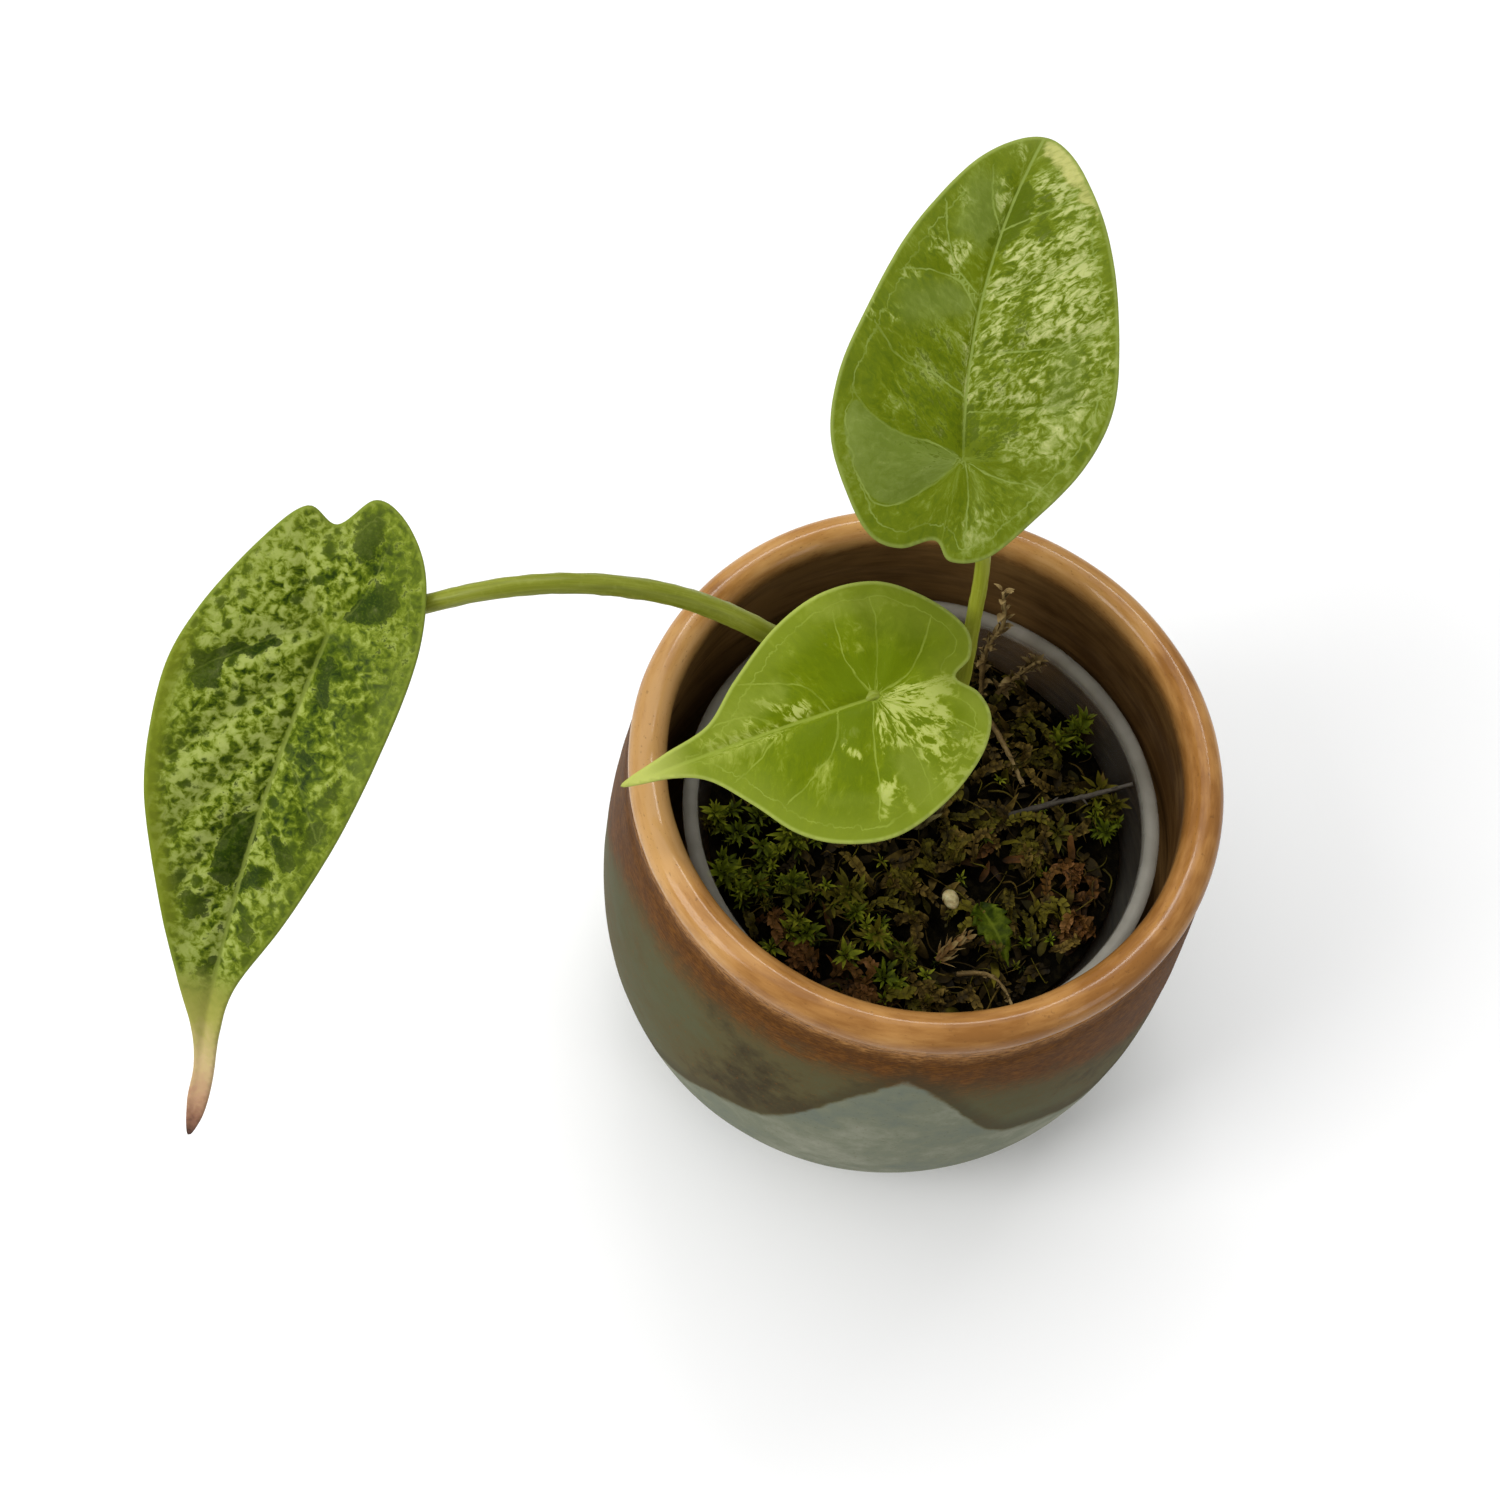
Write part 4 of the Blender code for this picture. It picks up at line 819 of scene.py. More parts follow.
def flatBlade(leaf):
    # evenly spaced edge points, then a staggered grid inside them, joined into triangles
    step = blade["grid"]
    curve = smoothCurve(leaf["outline"], blade["edgeSpans"], closed=True)
    curve = np.vstack([curve, curve[:1]])
    spots = np.concatenate([[0], np.cumsum(np.linalg.norm(np.diff(curve, axis=0), axis=1))])
    at = np.linspace(0, spots[-1], int(spots[-1] / step), endpoint=False)
    outline = np.column_stack([np.interp(at, spots, curve[:, k]) for k in (0, 1)])
    closedLine = np.vstack([outline, outline[:1]])
    low, high = outline.min(axis=0), outline.max(axis=0)
    grid = np.array([(low[0] + i * step, low[1] + (j + 0.5 * (i % 2)) * step)
                     for i in range(int((high[0] - low[0]) / step) + 1)
                     for j in range(int((high[1] - low[1]) / step) + 1)])
    grid = grid[insideOf(grid, outline)]
    grid = grid[distanceTo(grid, closedLine) > 0.55 * step]
    spread = [Vector(p) for p in np.vstack([outline, grid])]
    flat, _, faces, *_ = delaunay_2d_cdt(spread, [], [list(range(len(outline)))], 1, 0.0005)
    flat = np.array([tuple(p) for p in flat])
    return flat, [tuple(face) for face in faces], distanceTo(flat, closedLine), high[0]


def makeLeaf(name):
    leaf = leaves[name]
    flat, faces, edge, end = flatBlade(leaf)
    along, away = flat[:, 0], np.linalg.norm(flat, axis=1)
    off, _ = offMidrib(leaf, flat, bladeFrame(leaf)[4])
    fromSpine = np.where(along > 0, np.abs(off), away)
    nearest, aside = besideLines(flat, [smoothCurve(vein, 6) for vein in leaf["veins"]])

    # streaks follow the side veins: along them, then across them, fanned about the junction
    out, slope = np.abs(off), leaf["slope"]
    across = along - slope * out
    angle = np.arctan2(out, along) - atan2(1, slope)
    fan = (across < 0) & (leaf["fanWidth"] > 0)
    u = np.where(fan, away, out * sqrt(1 + slope * slope))
    v = np.where(fan, -angle * leaf["fanWidth"], across)
    # the two halves share their pattern near the midrib, so that no seam shows along it
    half = np.where(off > 0, 7.0, 0.0) * np.clip(out / 0.6, 0, 1)
    grain = np.column_stack([u * leaf["stretch"], v, half])
    if not leaf["fanWidth"]:
        grain = np.column_stack([off, along, 0 * off])            # mottled evenly, with no streaks

    inner = np.clip(edge / 1.2, 0, 1)
    fromVein = np.minimum(nearest, fromSpine)
    quilt = leaf["quilt"] * (1 - np.exp(-(fromVein / 1.5) ** 2)) * np.clip(edge / 4.0, 0, 1)
    groove = blade["midribSink"] * np.exp(-(fromSpine / 0.55) ** 2) * np.clip((along + 1.2) / 2.5, 0, 1)
    groove *= np.clip((end - along) / 12, 0, 1)
    pucker = np.array([noise.noise((x * 0.5, y * 0.5, 4.0)) for x, y in flat]) * 0.07
    points = onBlade(leaf, flat, quilt - groove * inner + swayOf(name, flat) + pucker * inner)

    flush = np.clip(1.6 - edge / 1.3, 0, 1) * (off < 0) * np.clip((along - 1) / 4, 0, 1)
    extras = {
        "edge": edge, "spine": off, "veinSide": aside, "veinReach": nearest,
        "veinWide": np.exp(-(nearest / 0.9) ** 2), "along": along, "grain": grain,
        "bordered": np.clip((0.82 * end - along) / 3, 0, 1),
        "pale": patchShare(flat, leaf["pale"]), "dark": patchShare(flat, leaf["dark"]),
        "sage": patchShare(flat, leaf["sage"], 1.5), "cream": patchShare(flat, leaf["cream"], 0.7),
        "panel": panelDepth(flat, leaf["panels"]), "away": away,
        "tipShare": np.clip((along - (end - leaf["tipRun"])) / 6.0, 0, 1) * leaf["tipShow"],
        "flush": flush * np.clip((38 - along) / 6, 0, 1),
    }
    finishes = [leafTop(name, leaf), leafUnderside(name, leaf)]
    piece = makePiece(name + "Leaf", points, faces, finishes, ["blade_" + name], extras)
    thicken(piece, blade["thickness"]).material_offset = 1


for leafName in leaves:
    makeLeaf(leafName)
    print(leafName, "leaf grown")


stalks = {
    "old": {"foot": (-2.8, 4.4), "radii": (1.5, 1.0), "sheath": 0.75, "under": 1.7, "ribEnd": 34.0,
            "points": [(-5.8, 4.8, 59.0), (-12.8, 4.5, 71.0), (-22.0, 1.9, 81.0), (-30.2, -0.6, 87.3),
                       (-37.3, -4.2, 92.0), (-43.8, -8.3, 95.2), (-50.3, -12.1, 95.8), (-56.6, -14.9, 93.4)],
            "green": (0.190, 0.212, 0.014), "pale": (0.240, 0.268, 0.032), "deep": (0.150, 0.172, 0.008)},
    "tall": {"foot": (0.6, 5.4), "radii": (1.2, 0.75), "sheath": 0.6, "under": 1.4, "ribEnd": 33.0,
             "points": [(1.2, 8.2, 59.0), (0.8, 11.2, 69.0), (-0.2, 13.7, 78.0), (-1.3, 15.7, 88.0),
                        (-3.2, 17.6, 94.0)],
             "green": (0.300, 0.330, 0.024), "pale": (0.370, 0.405, 0.050), "deep": (0.240, 0.270, 0.014)},
    "young": {"foot": (-0.8, 2.2), "radii": (1.1, 0.8), "sheath": 0.5, "under": 1.40, "ribEnd": 26.0,
              "points": [(-1.9, 0.3, 59.0), (-5.0, -1.7, 70.0)],
              "green": (0.190, 0.232, 0.014), "pale": (0.250, 0.300, 0.040), "deep": (0.140, 0.175, 0.006)},
}
# what the stalks share; upright and sunk are mm above the crown's top and into it
allStalks = {
    "upright": 4.0, "sunk": 1.2, "sides": 20, "spans": 8, "wobble": 0.10, "sheathHeight": 5.0,
    "ribShares": (0.06, 0.14, 0.26, 0.42, 0.60, 0.80, 1.0),
    "papery": [(0.38, (0.11, 0.085, 0.03)), (0.62, (0.30, 0.25, 0.11))],
}


def stalkFinish(name, stalk):
    skin = Finish(name + " stalk", {
        "IOR": 1.42, "Specular IOR Level": 0.25, "Subsurface Weight": 0.1, "Subsurface Scale": 0.0015,
        "Subsurface Radius": (0.5, 0.8, 0.15), "Coat Weight": 0.08, "Coat Roughness": 0.25})
    streaks = skin.cloud(skin.reading("ridge", "Vector"), 1.6, 4, 0.6)
    freckles = skin.step(skin.cloud(skin.place(), 1500, 2, 0.5), 0.56, 0.70)
    colour = skin.shades(streaks, stopsOf(stalk, (0.30, "deep"), (0.5, "green"), (0.72, "pale")))
    colour = skin.mixed(freckles * 0.35, colour, stalk["pale"])
    foot = skin.step(skin.reading("tipward"), 0.0, 0.10, 0.8, 0.0)
    colour = skin.mixed(foot, colour, skin.shades(streaks, allStalks["papery"]))
    return skin.done(colour, skin.step(streaks, 0.3, 0.7, 0.38, 0.52), streaks, 0.35, 0.12)


def makeStalk(name, crownTop):
    stalk, leaf, sides, spans = stalks[name], leaves[name], allStalks["sides"], allStalks["spans"]
    junction, along, _, out, length = bladeFrame(leaf)
    x, y = stalk["foot"]
    thick, thinner = stalk["radii"]
    approach = junction - out * (stalk["under"] - 0.35) - along * 0.2
    route = [(x, y, crownTop - allStalks["sunk"]), (x, y, crownTop + allStalks["upright"])]
    route += stalk["points"] + [tuple(approach)]
    ribAt = (len(route) - 1) * spans
    # from the junction on, the stalk runs under the blade as its midrib
    for share in allStalks["ribShares"]:
        a = stalk["ribEnd"] * share
        hump = 4 * a * (length - a) / length ** 2
        ribRadius = thinner * (1 - 0.78 * share)
        spot = [(a, leaf["bow"] * hump)]
        route.append(tuple(onBlade(leaf, spot, swayOf(name, spot)[0] - 0.44 - 0.88 * ribRadius)[0]))
    path = smoothCurve(route, spans)
    steps = np.arange(len(path))
    radii = np.where(steps <= ribAt, thick + (thinner - thick) * steps / ribAt,
                     thinner * (1 - 0.80 * np.clip((steps - ribAt) / (len(path) - 1 - ribAt), 0, 1)))
    climbed = np.clip(path[:, 2] - crownTop, 0, None)
    radii = radii + stalk["sheath"] * np.exp(-(climbed / allStalks["sheathHeight"]) ** 2) * (steps < ribAt)
    arc = np.concatenate([[0], np.cumsum(np.linalg.norm(np.diff(path, axis=0), axis=1))])
    angles = 2 * pi * np.arange(sides) / sides
    ridge = [(2.2 * cos(a), 2.2 * sin(a), s * 0.10) for s in arc for a in angles]
    ridge = np.array(ridge + [(0, 0, 0), (0, 0, arc[-1] * 0.10)])
    points, faces, extras = tubeShape(path, radii, sides, {"ridge": ridge}, allStalks["wobble"], len(name))
    makePiece(name + "Stalk", points, faces, [stalkFinish(name, stalk)], ["petiole_" + name], extras)


crown = {
    "steps": 64, "scales": 9, "scaleLength": (3.2, 5.6), "scaleWidth": (1.3, 1.9),
    "scaleCurl": (0.05, 0.35), "seed": 31,
    "shades": [(0.34, (0.045, 0.030, 0.012)), (0.5, (0.14, 0.11, 0.035)), (0.66, (0.27, 0.24, 0.09))],
}


def makeCrown():
    low, high = boxOf("crown")
    middle, radius = (low + high) / 2, (high.x - low.x) / 2
    husk = Finish("papery crown", {"Specular IOR Level": 0.3})
    fibres = husk.cloud(husk.place((1, 1, 0.3)), 900, 5, 0.65)
    colour, roughness = husk.shades(fibres, crown["shades"]), husk.step(fibres, 0.3, 0.7, 0.6, 0.85)
    finish = husk.done(colour, roughness, fibres, 0.8, 0.3)
    profile = [(0, high.z), (radius * 0.45, high.z - 0.1), (radius * 0.72, high.z - 0.7),
               (radius * 0.9, high.z - 1.8), (radius * 0.98, low.z + 1.2), (radius * 0.9, low.z + 0.2),
               (0, low.z)]

    def lumps(angle, height):
        place = (2 * cos(angle), 2 * sin(angle), height * 0.4)
        return 0.35 * noise.noise(place) + 0.12 * sin(9 * angle + height)

    shapes = [(*turnedShape(smoothCurve(profile, 4), crown["steps"], middle, lumps), {})]
    # dead leaf bases wrap it, each a curved scale
    rnd = Random(crown["seed"])
    for i in range(crown["scales"]):
        turn = 2 * pi * i / crown["scales"] + rnd.uniform(-0.2, 0.2)
        base = (middle.x + radius * 0.86 * cos(turn), middle.y + radius * 0.86 * sin(turn), low.z + 0.2)
        scale = leafletShape(base, (0.10 * cos(turn), 0.10 * sin(turn), 1.0), (cos(turn), sin(turn), 0),
                             rnd.uniform(*crown["scaleLength"]), rnd.uniform(*crown["scaleWidth"]),
                             rnd.uniform(*crown["scaleCurl"]), 6, 0.35)
        shapes.append((*scale[:2], {}))
    weld(makeJoined("leafCrown", shapes, finish, ["crown"]))
    return high.z


crownTop = makeCrown()
for leafName in stalks:
    makeStalk(leafName, crownTop)
print("crown and stalks made")


moss = {
    "rings": 80, "segments": 240, "lumps": 1.5, "sideTop": 42.0, "crownGap": 4.6, "seed": 12,
    "stars": 330, "starSpacing": 1.5, "branches": 300, "branchSpacing": 1.35,
    "ribbons": 260, "ribbonSpacing": 1.3, "threads": 230, "threadSpacing": 1.2,
    # each kind's Deep shade is also the painted shade of what lies low in the bed
    "greenDeep": (0.006, 0.010, 0.001), "green": (0.095, 0.122, 0.004), "greenTip": (0.310, 0.320, 0.022),
    "brownDeep": (0.007, 0.005, 0.002), "brown": (0.066, 0.042, 0.008), "brownTip": (0.250, 0.168, 0.034),
    "red": (0.135, 0.052, 0.013), "redTip": (0.26, 0.11, 0.05), "olive": (0.150, 0.125, 0.010),
    # the litter's shades are near black: its own dark brown and painted shade in the gaps between the moss
    "soil": (0.0030, 0.0024, 0.0012), "soilHigh": (0.016, 0.012, 0.004),
    # (x, y, reach) of the places where one kind of moss gathers
    "greenPlaces": [(-20.0, -9.0, 9.0), (-12.0, -14.0, 7.0), (-3.0, -13.0, 5.5), (2.0, -15.5, 4.0),
                    (-14.0, 12.0, 9.0), (24.6, 11.0, 3.5), (17.6, 21.6, 3.5), (5.4, -18.6, 3.0),
                    (-24.0, 0.0, 6.0), (20.5, 6.5, 2.4)],
    "redPlaces": [(-7.0, -21.2, 5.6), (2.0, -23.6, 4.4), (22.8, 2.4, 4.8), (26.0, -4.6, 3.2),
                  (13.0, -1.0, 3.4)],
}
crownAt = sum(boxOf("crown"), Vector()) / 2
bedLow, bedHigh = boxOf("moss_bed")
bedMiddle, bedRadius = (bedLow + bedHigh) / 2, (bedHigh.x - bedLow.x) / 2
bedTree = BVHTree.FromObject(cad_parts["moss_bed"], bpy.context.evaluated_depsgraph_get())


def bedHeight(x, y):
    hit = bedTree.ray_cast(Vector((x, y, 90)) * mm, Vector((0, 0, -1)))[0]
    return hit.z / mm if hit else bedHigh.z - 1.5


def insideBed(x, y, margin):
    # the place itself, or the nearest one that is inside the bed by the margin
    away = hypot(x - bedMiddle.x, y - bedMiddle.y)
    pull = min(1.0, (bedRadius - margin) / max(away, 0.1))
    return bedMiddle.x + (x - bedMiddle.x) * pull, bedMiddle.y + (y - bedMiddle.y) * pull


def nearness(x, y, places):
    # 1 in the middle of the nearest place, 0.5 at its reach, and less outside it
    return max(1 - 0.5 * hypot(x - a, y - b) / reach for a, b, reach in places)


def bedPlaces(rnd, count, spacing):
    # scattered places on the bed, no two nearer than the spacing
    found, tries = [], 0
    while len(found) < count and tries < count * 30:
        tries += 1
        r, turn = (bedRadius - 0.9) * sqrt(rnd.random()), rnd.uniform(0, 2 * pi)
        x, y = bedMiddle.x + r * cos(turn), bedMiddle.y + r * sin(turn)
        if hypot(x - crownAt.x, y - crownAt.y) < moss["crownGap"]:
            continue
        if all((x - a) ** 2 + (y - b) ** 2 > spacing ** 2 for a, b in found):
            found.append((x, y))
    return found


def mossFinish(name, kind):
    frond = Finish(name, {"Specular IOR Level": 0.10, "IOR": 1.4})
    mottle = frond.cloud(frond.place(), 1300, 3, 0.6)
    tint = frond.reading("tint")
    tone = frond.reading("tipward") * 0.50 + tint * 0.38 + (mottle - 0.5) * 0.7
    deep = kind + "Deep"
    colour = frond.shades(tone, stopsOf(moss, (0.08, deep), (0.46, kind), (0.90, kind + "Tip")))
    # one strand in three or so is olive
    swapped = frond.step((tint * 7.0).maths("FRACT"), 0.60, 0.75)
    colour = frond.mixed(swapped, colour, frond.shades(tone, stopsOf(moss, (0.08, deep), (0.80, "olive"))))
    rusty = frond.shades(tone, stopsOf(moss, (0.10, deep), (0.60, "red"), (0.95, "redTip")))
    colour = frond.mixed(frond.reading("red"), colour, rusty)
    # painted shade: what lies low in the bed is darkened towards the deep shade
    colour = frond.mixed(frond.step(frond.reading("depth"), 0.2, 2.6, 0.88, 0.0), colour, moss[deep])
    return frond.done(colour, frond.step(mottle, 0.3, 0.7, 0.45, 0.7), mottle, 0.5, 0.12)


def soilFinish():
    # the litter is kept near black, partly as painted shade in the gaps
    soil = Finish("moss litter and painted gap shade", {"Specular IOR Level": 0.02})
    crumbs = soil.cloud(soil.place(), 650, 5, 0.7)
    colour = soil.shades(crumbs, stopsOf(moss, (0.46, "soil"), (0.74, "soilHigh")))
    return soil.done(colour, soil.step(crumbs, 0.3, 0.7, 0.7, 0.95), crumbs, 1.0, 0.8)


def makeBed():
    radius, segments, rings = bedRadius - 0.1, moss["segments"], moss["rings"]
    bottom, sideTop = radius * 0.8, moss["sideTop"]
    points, faces = [], []
    for segment in range(segments):
        angle = 2 * pi * segment / segments
        for ring in range(rings):
            r = radius * ring / (rings - 1)
            x, y = bedMiddle.x + r * cos(angle), bedMiddle.y + r * sin(angle)
            lumps = moss["lumps"] * noise.fractal((x * 0.24, y * 0.24, 1.7), 0.9, 2.2, 5) - 1.1
            lumps *= min(1.0, 6 * (1 - r / radius) + 0.25)
            points.append((x, y, bedHeight(x * 0.999, y * 0.999) + lumps))
        for t in (0.06, 0.5, 1.0):
            r = radius + (bottom - radius) * t
            points.append((bedMiddle.x + r * cos(angle), bedMiddle.y + r * sin(angle),
                           sideTop + (bedLow.z - sideTop) * t))
        points.append((bedMiddle.x, bedMiddle.y, bedLow.z))
    rings += 4
    for segment in range(segments):
        one, two = segment * rings, (segment + 1) % segments * rings
        faces += [(one + k + 1, two + k + 1, two + k, one + k) for k in range(rings - 1)]
    weld(makePiece("mossLitter", points, faces, [soilFinish()], ["moss_bed"]))


def mossShape(shape, tint, red, foot, low, span):
    points, faces, given = shape
    tipward = low + span * given["tipward"]
    # depth is the height above the foot, which the finish darkens as painted shade
    return points, faces, {"tint": tint, "red": red, "depth": points[:, 2] - foot, "tipward": tipward}


def mossStar(rnd, x, y, height, reach, tiers, perTier, rows=5):
    # one upright shoot: a thin stem with whorls of narrow pointed leaflets that open into a star at its top
    foot, tint = bedHeight(x, y) - 0.9, rnd.random()
    lean = np.array([rnd.uniform(-0.8, 0.8), rnd.uniform(-0.8, 0.8), 1.0])
    base = np.array([x, y, foot])
    stem = np.array([base + lean * height * t + 0.25 * np.sin([5 * t + x, 4 * t + y, 0])
                     for t in (0, 0.3, 0.6, 1.0)])
    shapes = [mossShape(tubeShape(stem, [0.20, 0.18, 0.15, 0.08], 5), tint * 0.7, 0.0, foot, 0.0, 0.35)]
    for tier in range(tiers):
        share = tier / max(tiers - 1, 1)
        at = stem[0] + (stem[-1] - stem[0]) * (0.35 + 0.65 * share)
        turn = rnd.uniform(0, 2 * pi)
        for k in range(perTier):
            angle = turn + 2 * pi * k / perTier + rnd.uniform(-0.3, 0.3)
            forward = heading(angle, 0.10 + 0.55 * share ** 2 + rnd.uniform(-0.25, 0.25))
            size = reach * (0.75 + 0.25 * share) * rnd.uniform(0.55, 1.25)
            shape = leafletShape(at, forward, (0, 0, 1), size, size * rnd.uniform(0.08, 0.13),
                                 rnd.uniform(-0.45, 0.15), rows, 0.35)
            shapes.append(mossShape(shape, tint, 0.0, foot, 0.15 + 0.15 * share, 0.7))
    for _ in range(5):
        forward = heading(rnd.uniform(0, 2 * pi), rnd.uniform(0.8, 1.35))
        shape = leafletShape(stem[-1], forward, (0.3, 0.2, 1), reach * 0.55, reach * 0.09, 0.1, rows, 0.3)
        shapes.append(mossShape(shape, tint, 0.0, foot, 0.45, 0.55))
    return shapes


def mossBranch(rnd, x, y, length, rise, leaflets, red, rows=5):
    # a trailing strand: a bent stem with curled pointed leaflets alternating along its two sides
    foot, tint = bedHeight(x, y) - 0.5, rnd.random()
    turn, bend = rnd.uniform(0, 2 * pi), rnd.uniform(-2.2, 2.2)
    path = []
    for step in range(7):
        t = step / 6
        run, way = length * (t - 0.5), turn + bend * t
        px, py = insideBed(x + run * cos(way), y + run * sin(way), 0.9)
        path.append((px, py, foot + rise * sin(pi * (0.12 + 0.80 * t)) + 0.3 * noise.noise((px, py, 3.0))))
    path = smoothCurve(path, 2)
    shapes = [mossShape(tubeShape(path, np.linspace(0.20, 0.08, len(path)), 5), tint, red, foot, 0.1, 0.4)]
    for k in range(leaflets):
        share = 0.06 + 0.92 * k / leaflets
        spot = min(int(share * (len(path) - 1)), len(path) - 2)
        ahead = unit(path[spot + 1] - path[spot])
        side = np.cross(ahead, (0, 0, 1)) * (1 if k % 2 else -1)
        forward = ahead * rnd.uniform(0.8, 1.6) + side * 0.8 + np.array([0, 0, rnd.uniform(-0.25, 0.45)])
        size = (1.5 - 0.5 * share) * rnd.uniform(0.7, 1.15)
        lift = (rnd.uniform(-0.4, 0.4), rnd.uniform(-0.4, 0.4), 1)
        shape = leafletShape(path[spot], forward, lift, size, size * rnd.uniform(0.20, 0.30),
                             rnd.uniform(-0.5, 0.5), rows, rnd.uniform(0.2, 0.6))
        shapes.append(mossShape(shape, tint, red, foot, 0.25, 0.75))
    return shapes


def mossRibbon(rnd, x, y, length, red):
    # a flat, folded and twisted ribbon of old moss that arches up out of the bed
    foot = bedHeight(x, y) - 0.6
    inward = np.array([bedMiddle.x - x, bedMiddle.y - y, 0]) / bedRadius
    forward = heading(rnd.uniform(0, 2 * pi), rnd.uniform(0.1, 0.9)) + 0.9 * inward
    points, faces, given = leafletShape(
        (x, y, foot + 0.4), forward, (rnd.uniform(-0.6, 0.6), rnd.uniform(-0.6, 0.6), 1.0), length,
        rnd.uniform(0.36, 0.62), rnd.uniform(-0.9, -0.1), 12, rnd.uniform(-0.4, 0.6))
    points = points + 0.22 * np.array([noise.noise_vector(tuple(p * 0.8)) for p in points])
    return mossShape((points, faces, given), rnd.random(), red, foot, 0.25, 0.65)


def mossThread(rnd, x, y):
    # a loose thread of dead moss lying across the bed
    turn, run, bend = rnd.uniform(0, 2 * pi), rnd.uniform(2.0, 6.5), rnd.uniform(-1.2, 1.2)
    route = []
    for t in (0, 0.33, 0.66, 1.0):
        px, py = insideBed(x + run * (t - 0.5) * cos(turn) + bend * sin(pi * t) * sin(turn),
                           y + run * (t - 0.5) * sin(turn) - bend * sin(pi * t) * cos(turn), 0.8)
        route.append((px, py, bedHeight(px, py) + 0.2 + 1.8 * sin(pi * t) * rnd.random()))
    path = smoothCurve(route, 3)
    thick = rnd.uniform(0.08, 0.17)
    shape = tubeShape(path, np.linspace(thick, thick * 0.4, len(path)), 5, wobble=0.3, seed=x)
    return mossShape(shape, rnd.random(), 0.0, bedHeight(x, y) - 1.2, 0.25, 0.5)


def ringPlaces(middle, radius, count, start=0.0):
    turns = [2 * pi * k / count + start for k in range(count)]
    return [(middle.x + radius * cos(turn), middle.y + radius * sin(turn)) for turn in turns]


def plantHeads(rnd, greenFinish, brownFinish):
    # the bigger heads, each in the place of one of the frame's
    for node in sorted(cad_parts):
        kind, _, number = node.rpartition("_")
        if kind not in ("green_shoot", "brown_tuft"):
            continue
        low, high = boxOf(node)
        middle, reach, tall = (low + high) / 2, (high.x - low.x) / 2, high.z - low.z
        if kind == "green_shoot":
            shapes = mossStar(rnd, middle.x, middle.y, tall + 1.0, reach * 0.98, 4, 8, 8)
            for x, y in ringPlaces(middle, reach * 0.6, 4, 0.6):
                shapes += mossStar(rnd, x, y, tall * 0.7 + 0.6, reach * 0.62, 3, 7, 7)
            makeJoined("greenShoot" + number, shapes, greenFinish, [node])
            continue
        red = 0.85 if nearness(middle.x, middle.y, moss["redPlaces"]) > 0.75 else 0.0
        shapes = []
        for x, y in ringPlaces(middle, reach * 0.3, 9):
            shapes += mossBranch(rnd, x, y, reach * 1.5, tall * 0.9 + 0.4, 14, red, 9)
        makeJoined("brownTuft" + number, shapes, brownFinish, [node])


def plantBed(rnd, greenFinish, brownFinish):
    green, brown = [], []
    for x, y in bedPlaces(rnd, moss["stars"], moss["starSpacing"]):
        share = nearness(x, y, moss["greenPlaces"]) + rnd.uniform(-0.12, 0.12)
        if share > 0.5 and noise.noise((x * 0.28, y * 0.28, 5.0)) > -0.03:
            green += mossStar(rnd, x, y, rnd.uniform(1.8, 4.8), rnd.uniform(1.7, 2.7), 3, 7)
        elif rnd.random() < 0.10:
            green += mossStar(rnd, x, y, rnd.uniform(1.2, 2.6), rnd.uniform(0.9, 1.6), 2, 6)
    for x, y in bedPlaces(rnd, moss["branches"], moss["branchSpacing"]):
        share = nearness(x, y, moss["greenPlaces"]) + rnd.uniform(-0.12, 0.12)
        gap = noise.noise((x * 0.25 + 9, y * 0.25, 2.0))
        red = 0.8 if nearness(x, y, moss["redPlaces"]) + rnd.uniform(-0.1, 0.1) > 0.55 else 0.0
        if gap > -0.07 and (share < 0.55 or rnd.random() < 0.16 or red):
            brown += mossBranch(rnd, x, y, rnd.uniform(4.0, 8.5), rnd.uniform(1.0, 4.0), 22, red)
    for x, y in bedPlaces(rnd, moss["ribbons"], moss["ribbonSpacing"]):
        red = 0.9 if nearness(x, y, moss["redPlaces"]) > 0.55 else 0.0
        if nearness(x, y, moss["greenPlaces"]) < 0.62 or red or rnd.random() < 0.2:
            brown.append(mossRibbon(rnd, x, y, rnd.uniform(2.6, 6.0), red))
    makeJoined("livingMoss", green, greenFinish)
    makeJoined("mattedMoss", brown, brownFinish)
    threads = [mossThread(rnd, x, y) for x, y in bedPlaces(rnd, moss["threads"], moss["threadSpacing"])]
    makeJoined("mossThreads", threads, brownFinish)


makeBed()
mossDraws = Random(moss["seed"])
mossFinishes = mossFinish("living moss", "green"), mossFinish("matted moss", "brown")
plantHeads(mossDraws, *mossFinishes)
print("moss heads made")
plantBed(mossDraws, *mossFinishes)
print("moss planted")


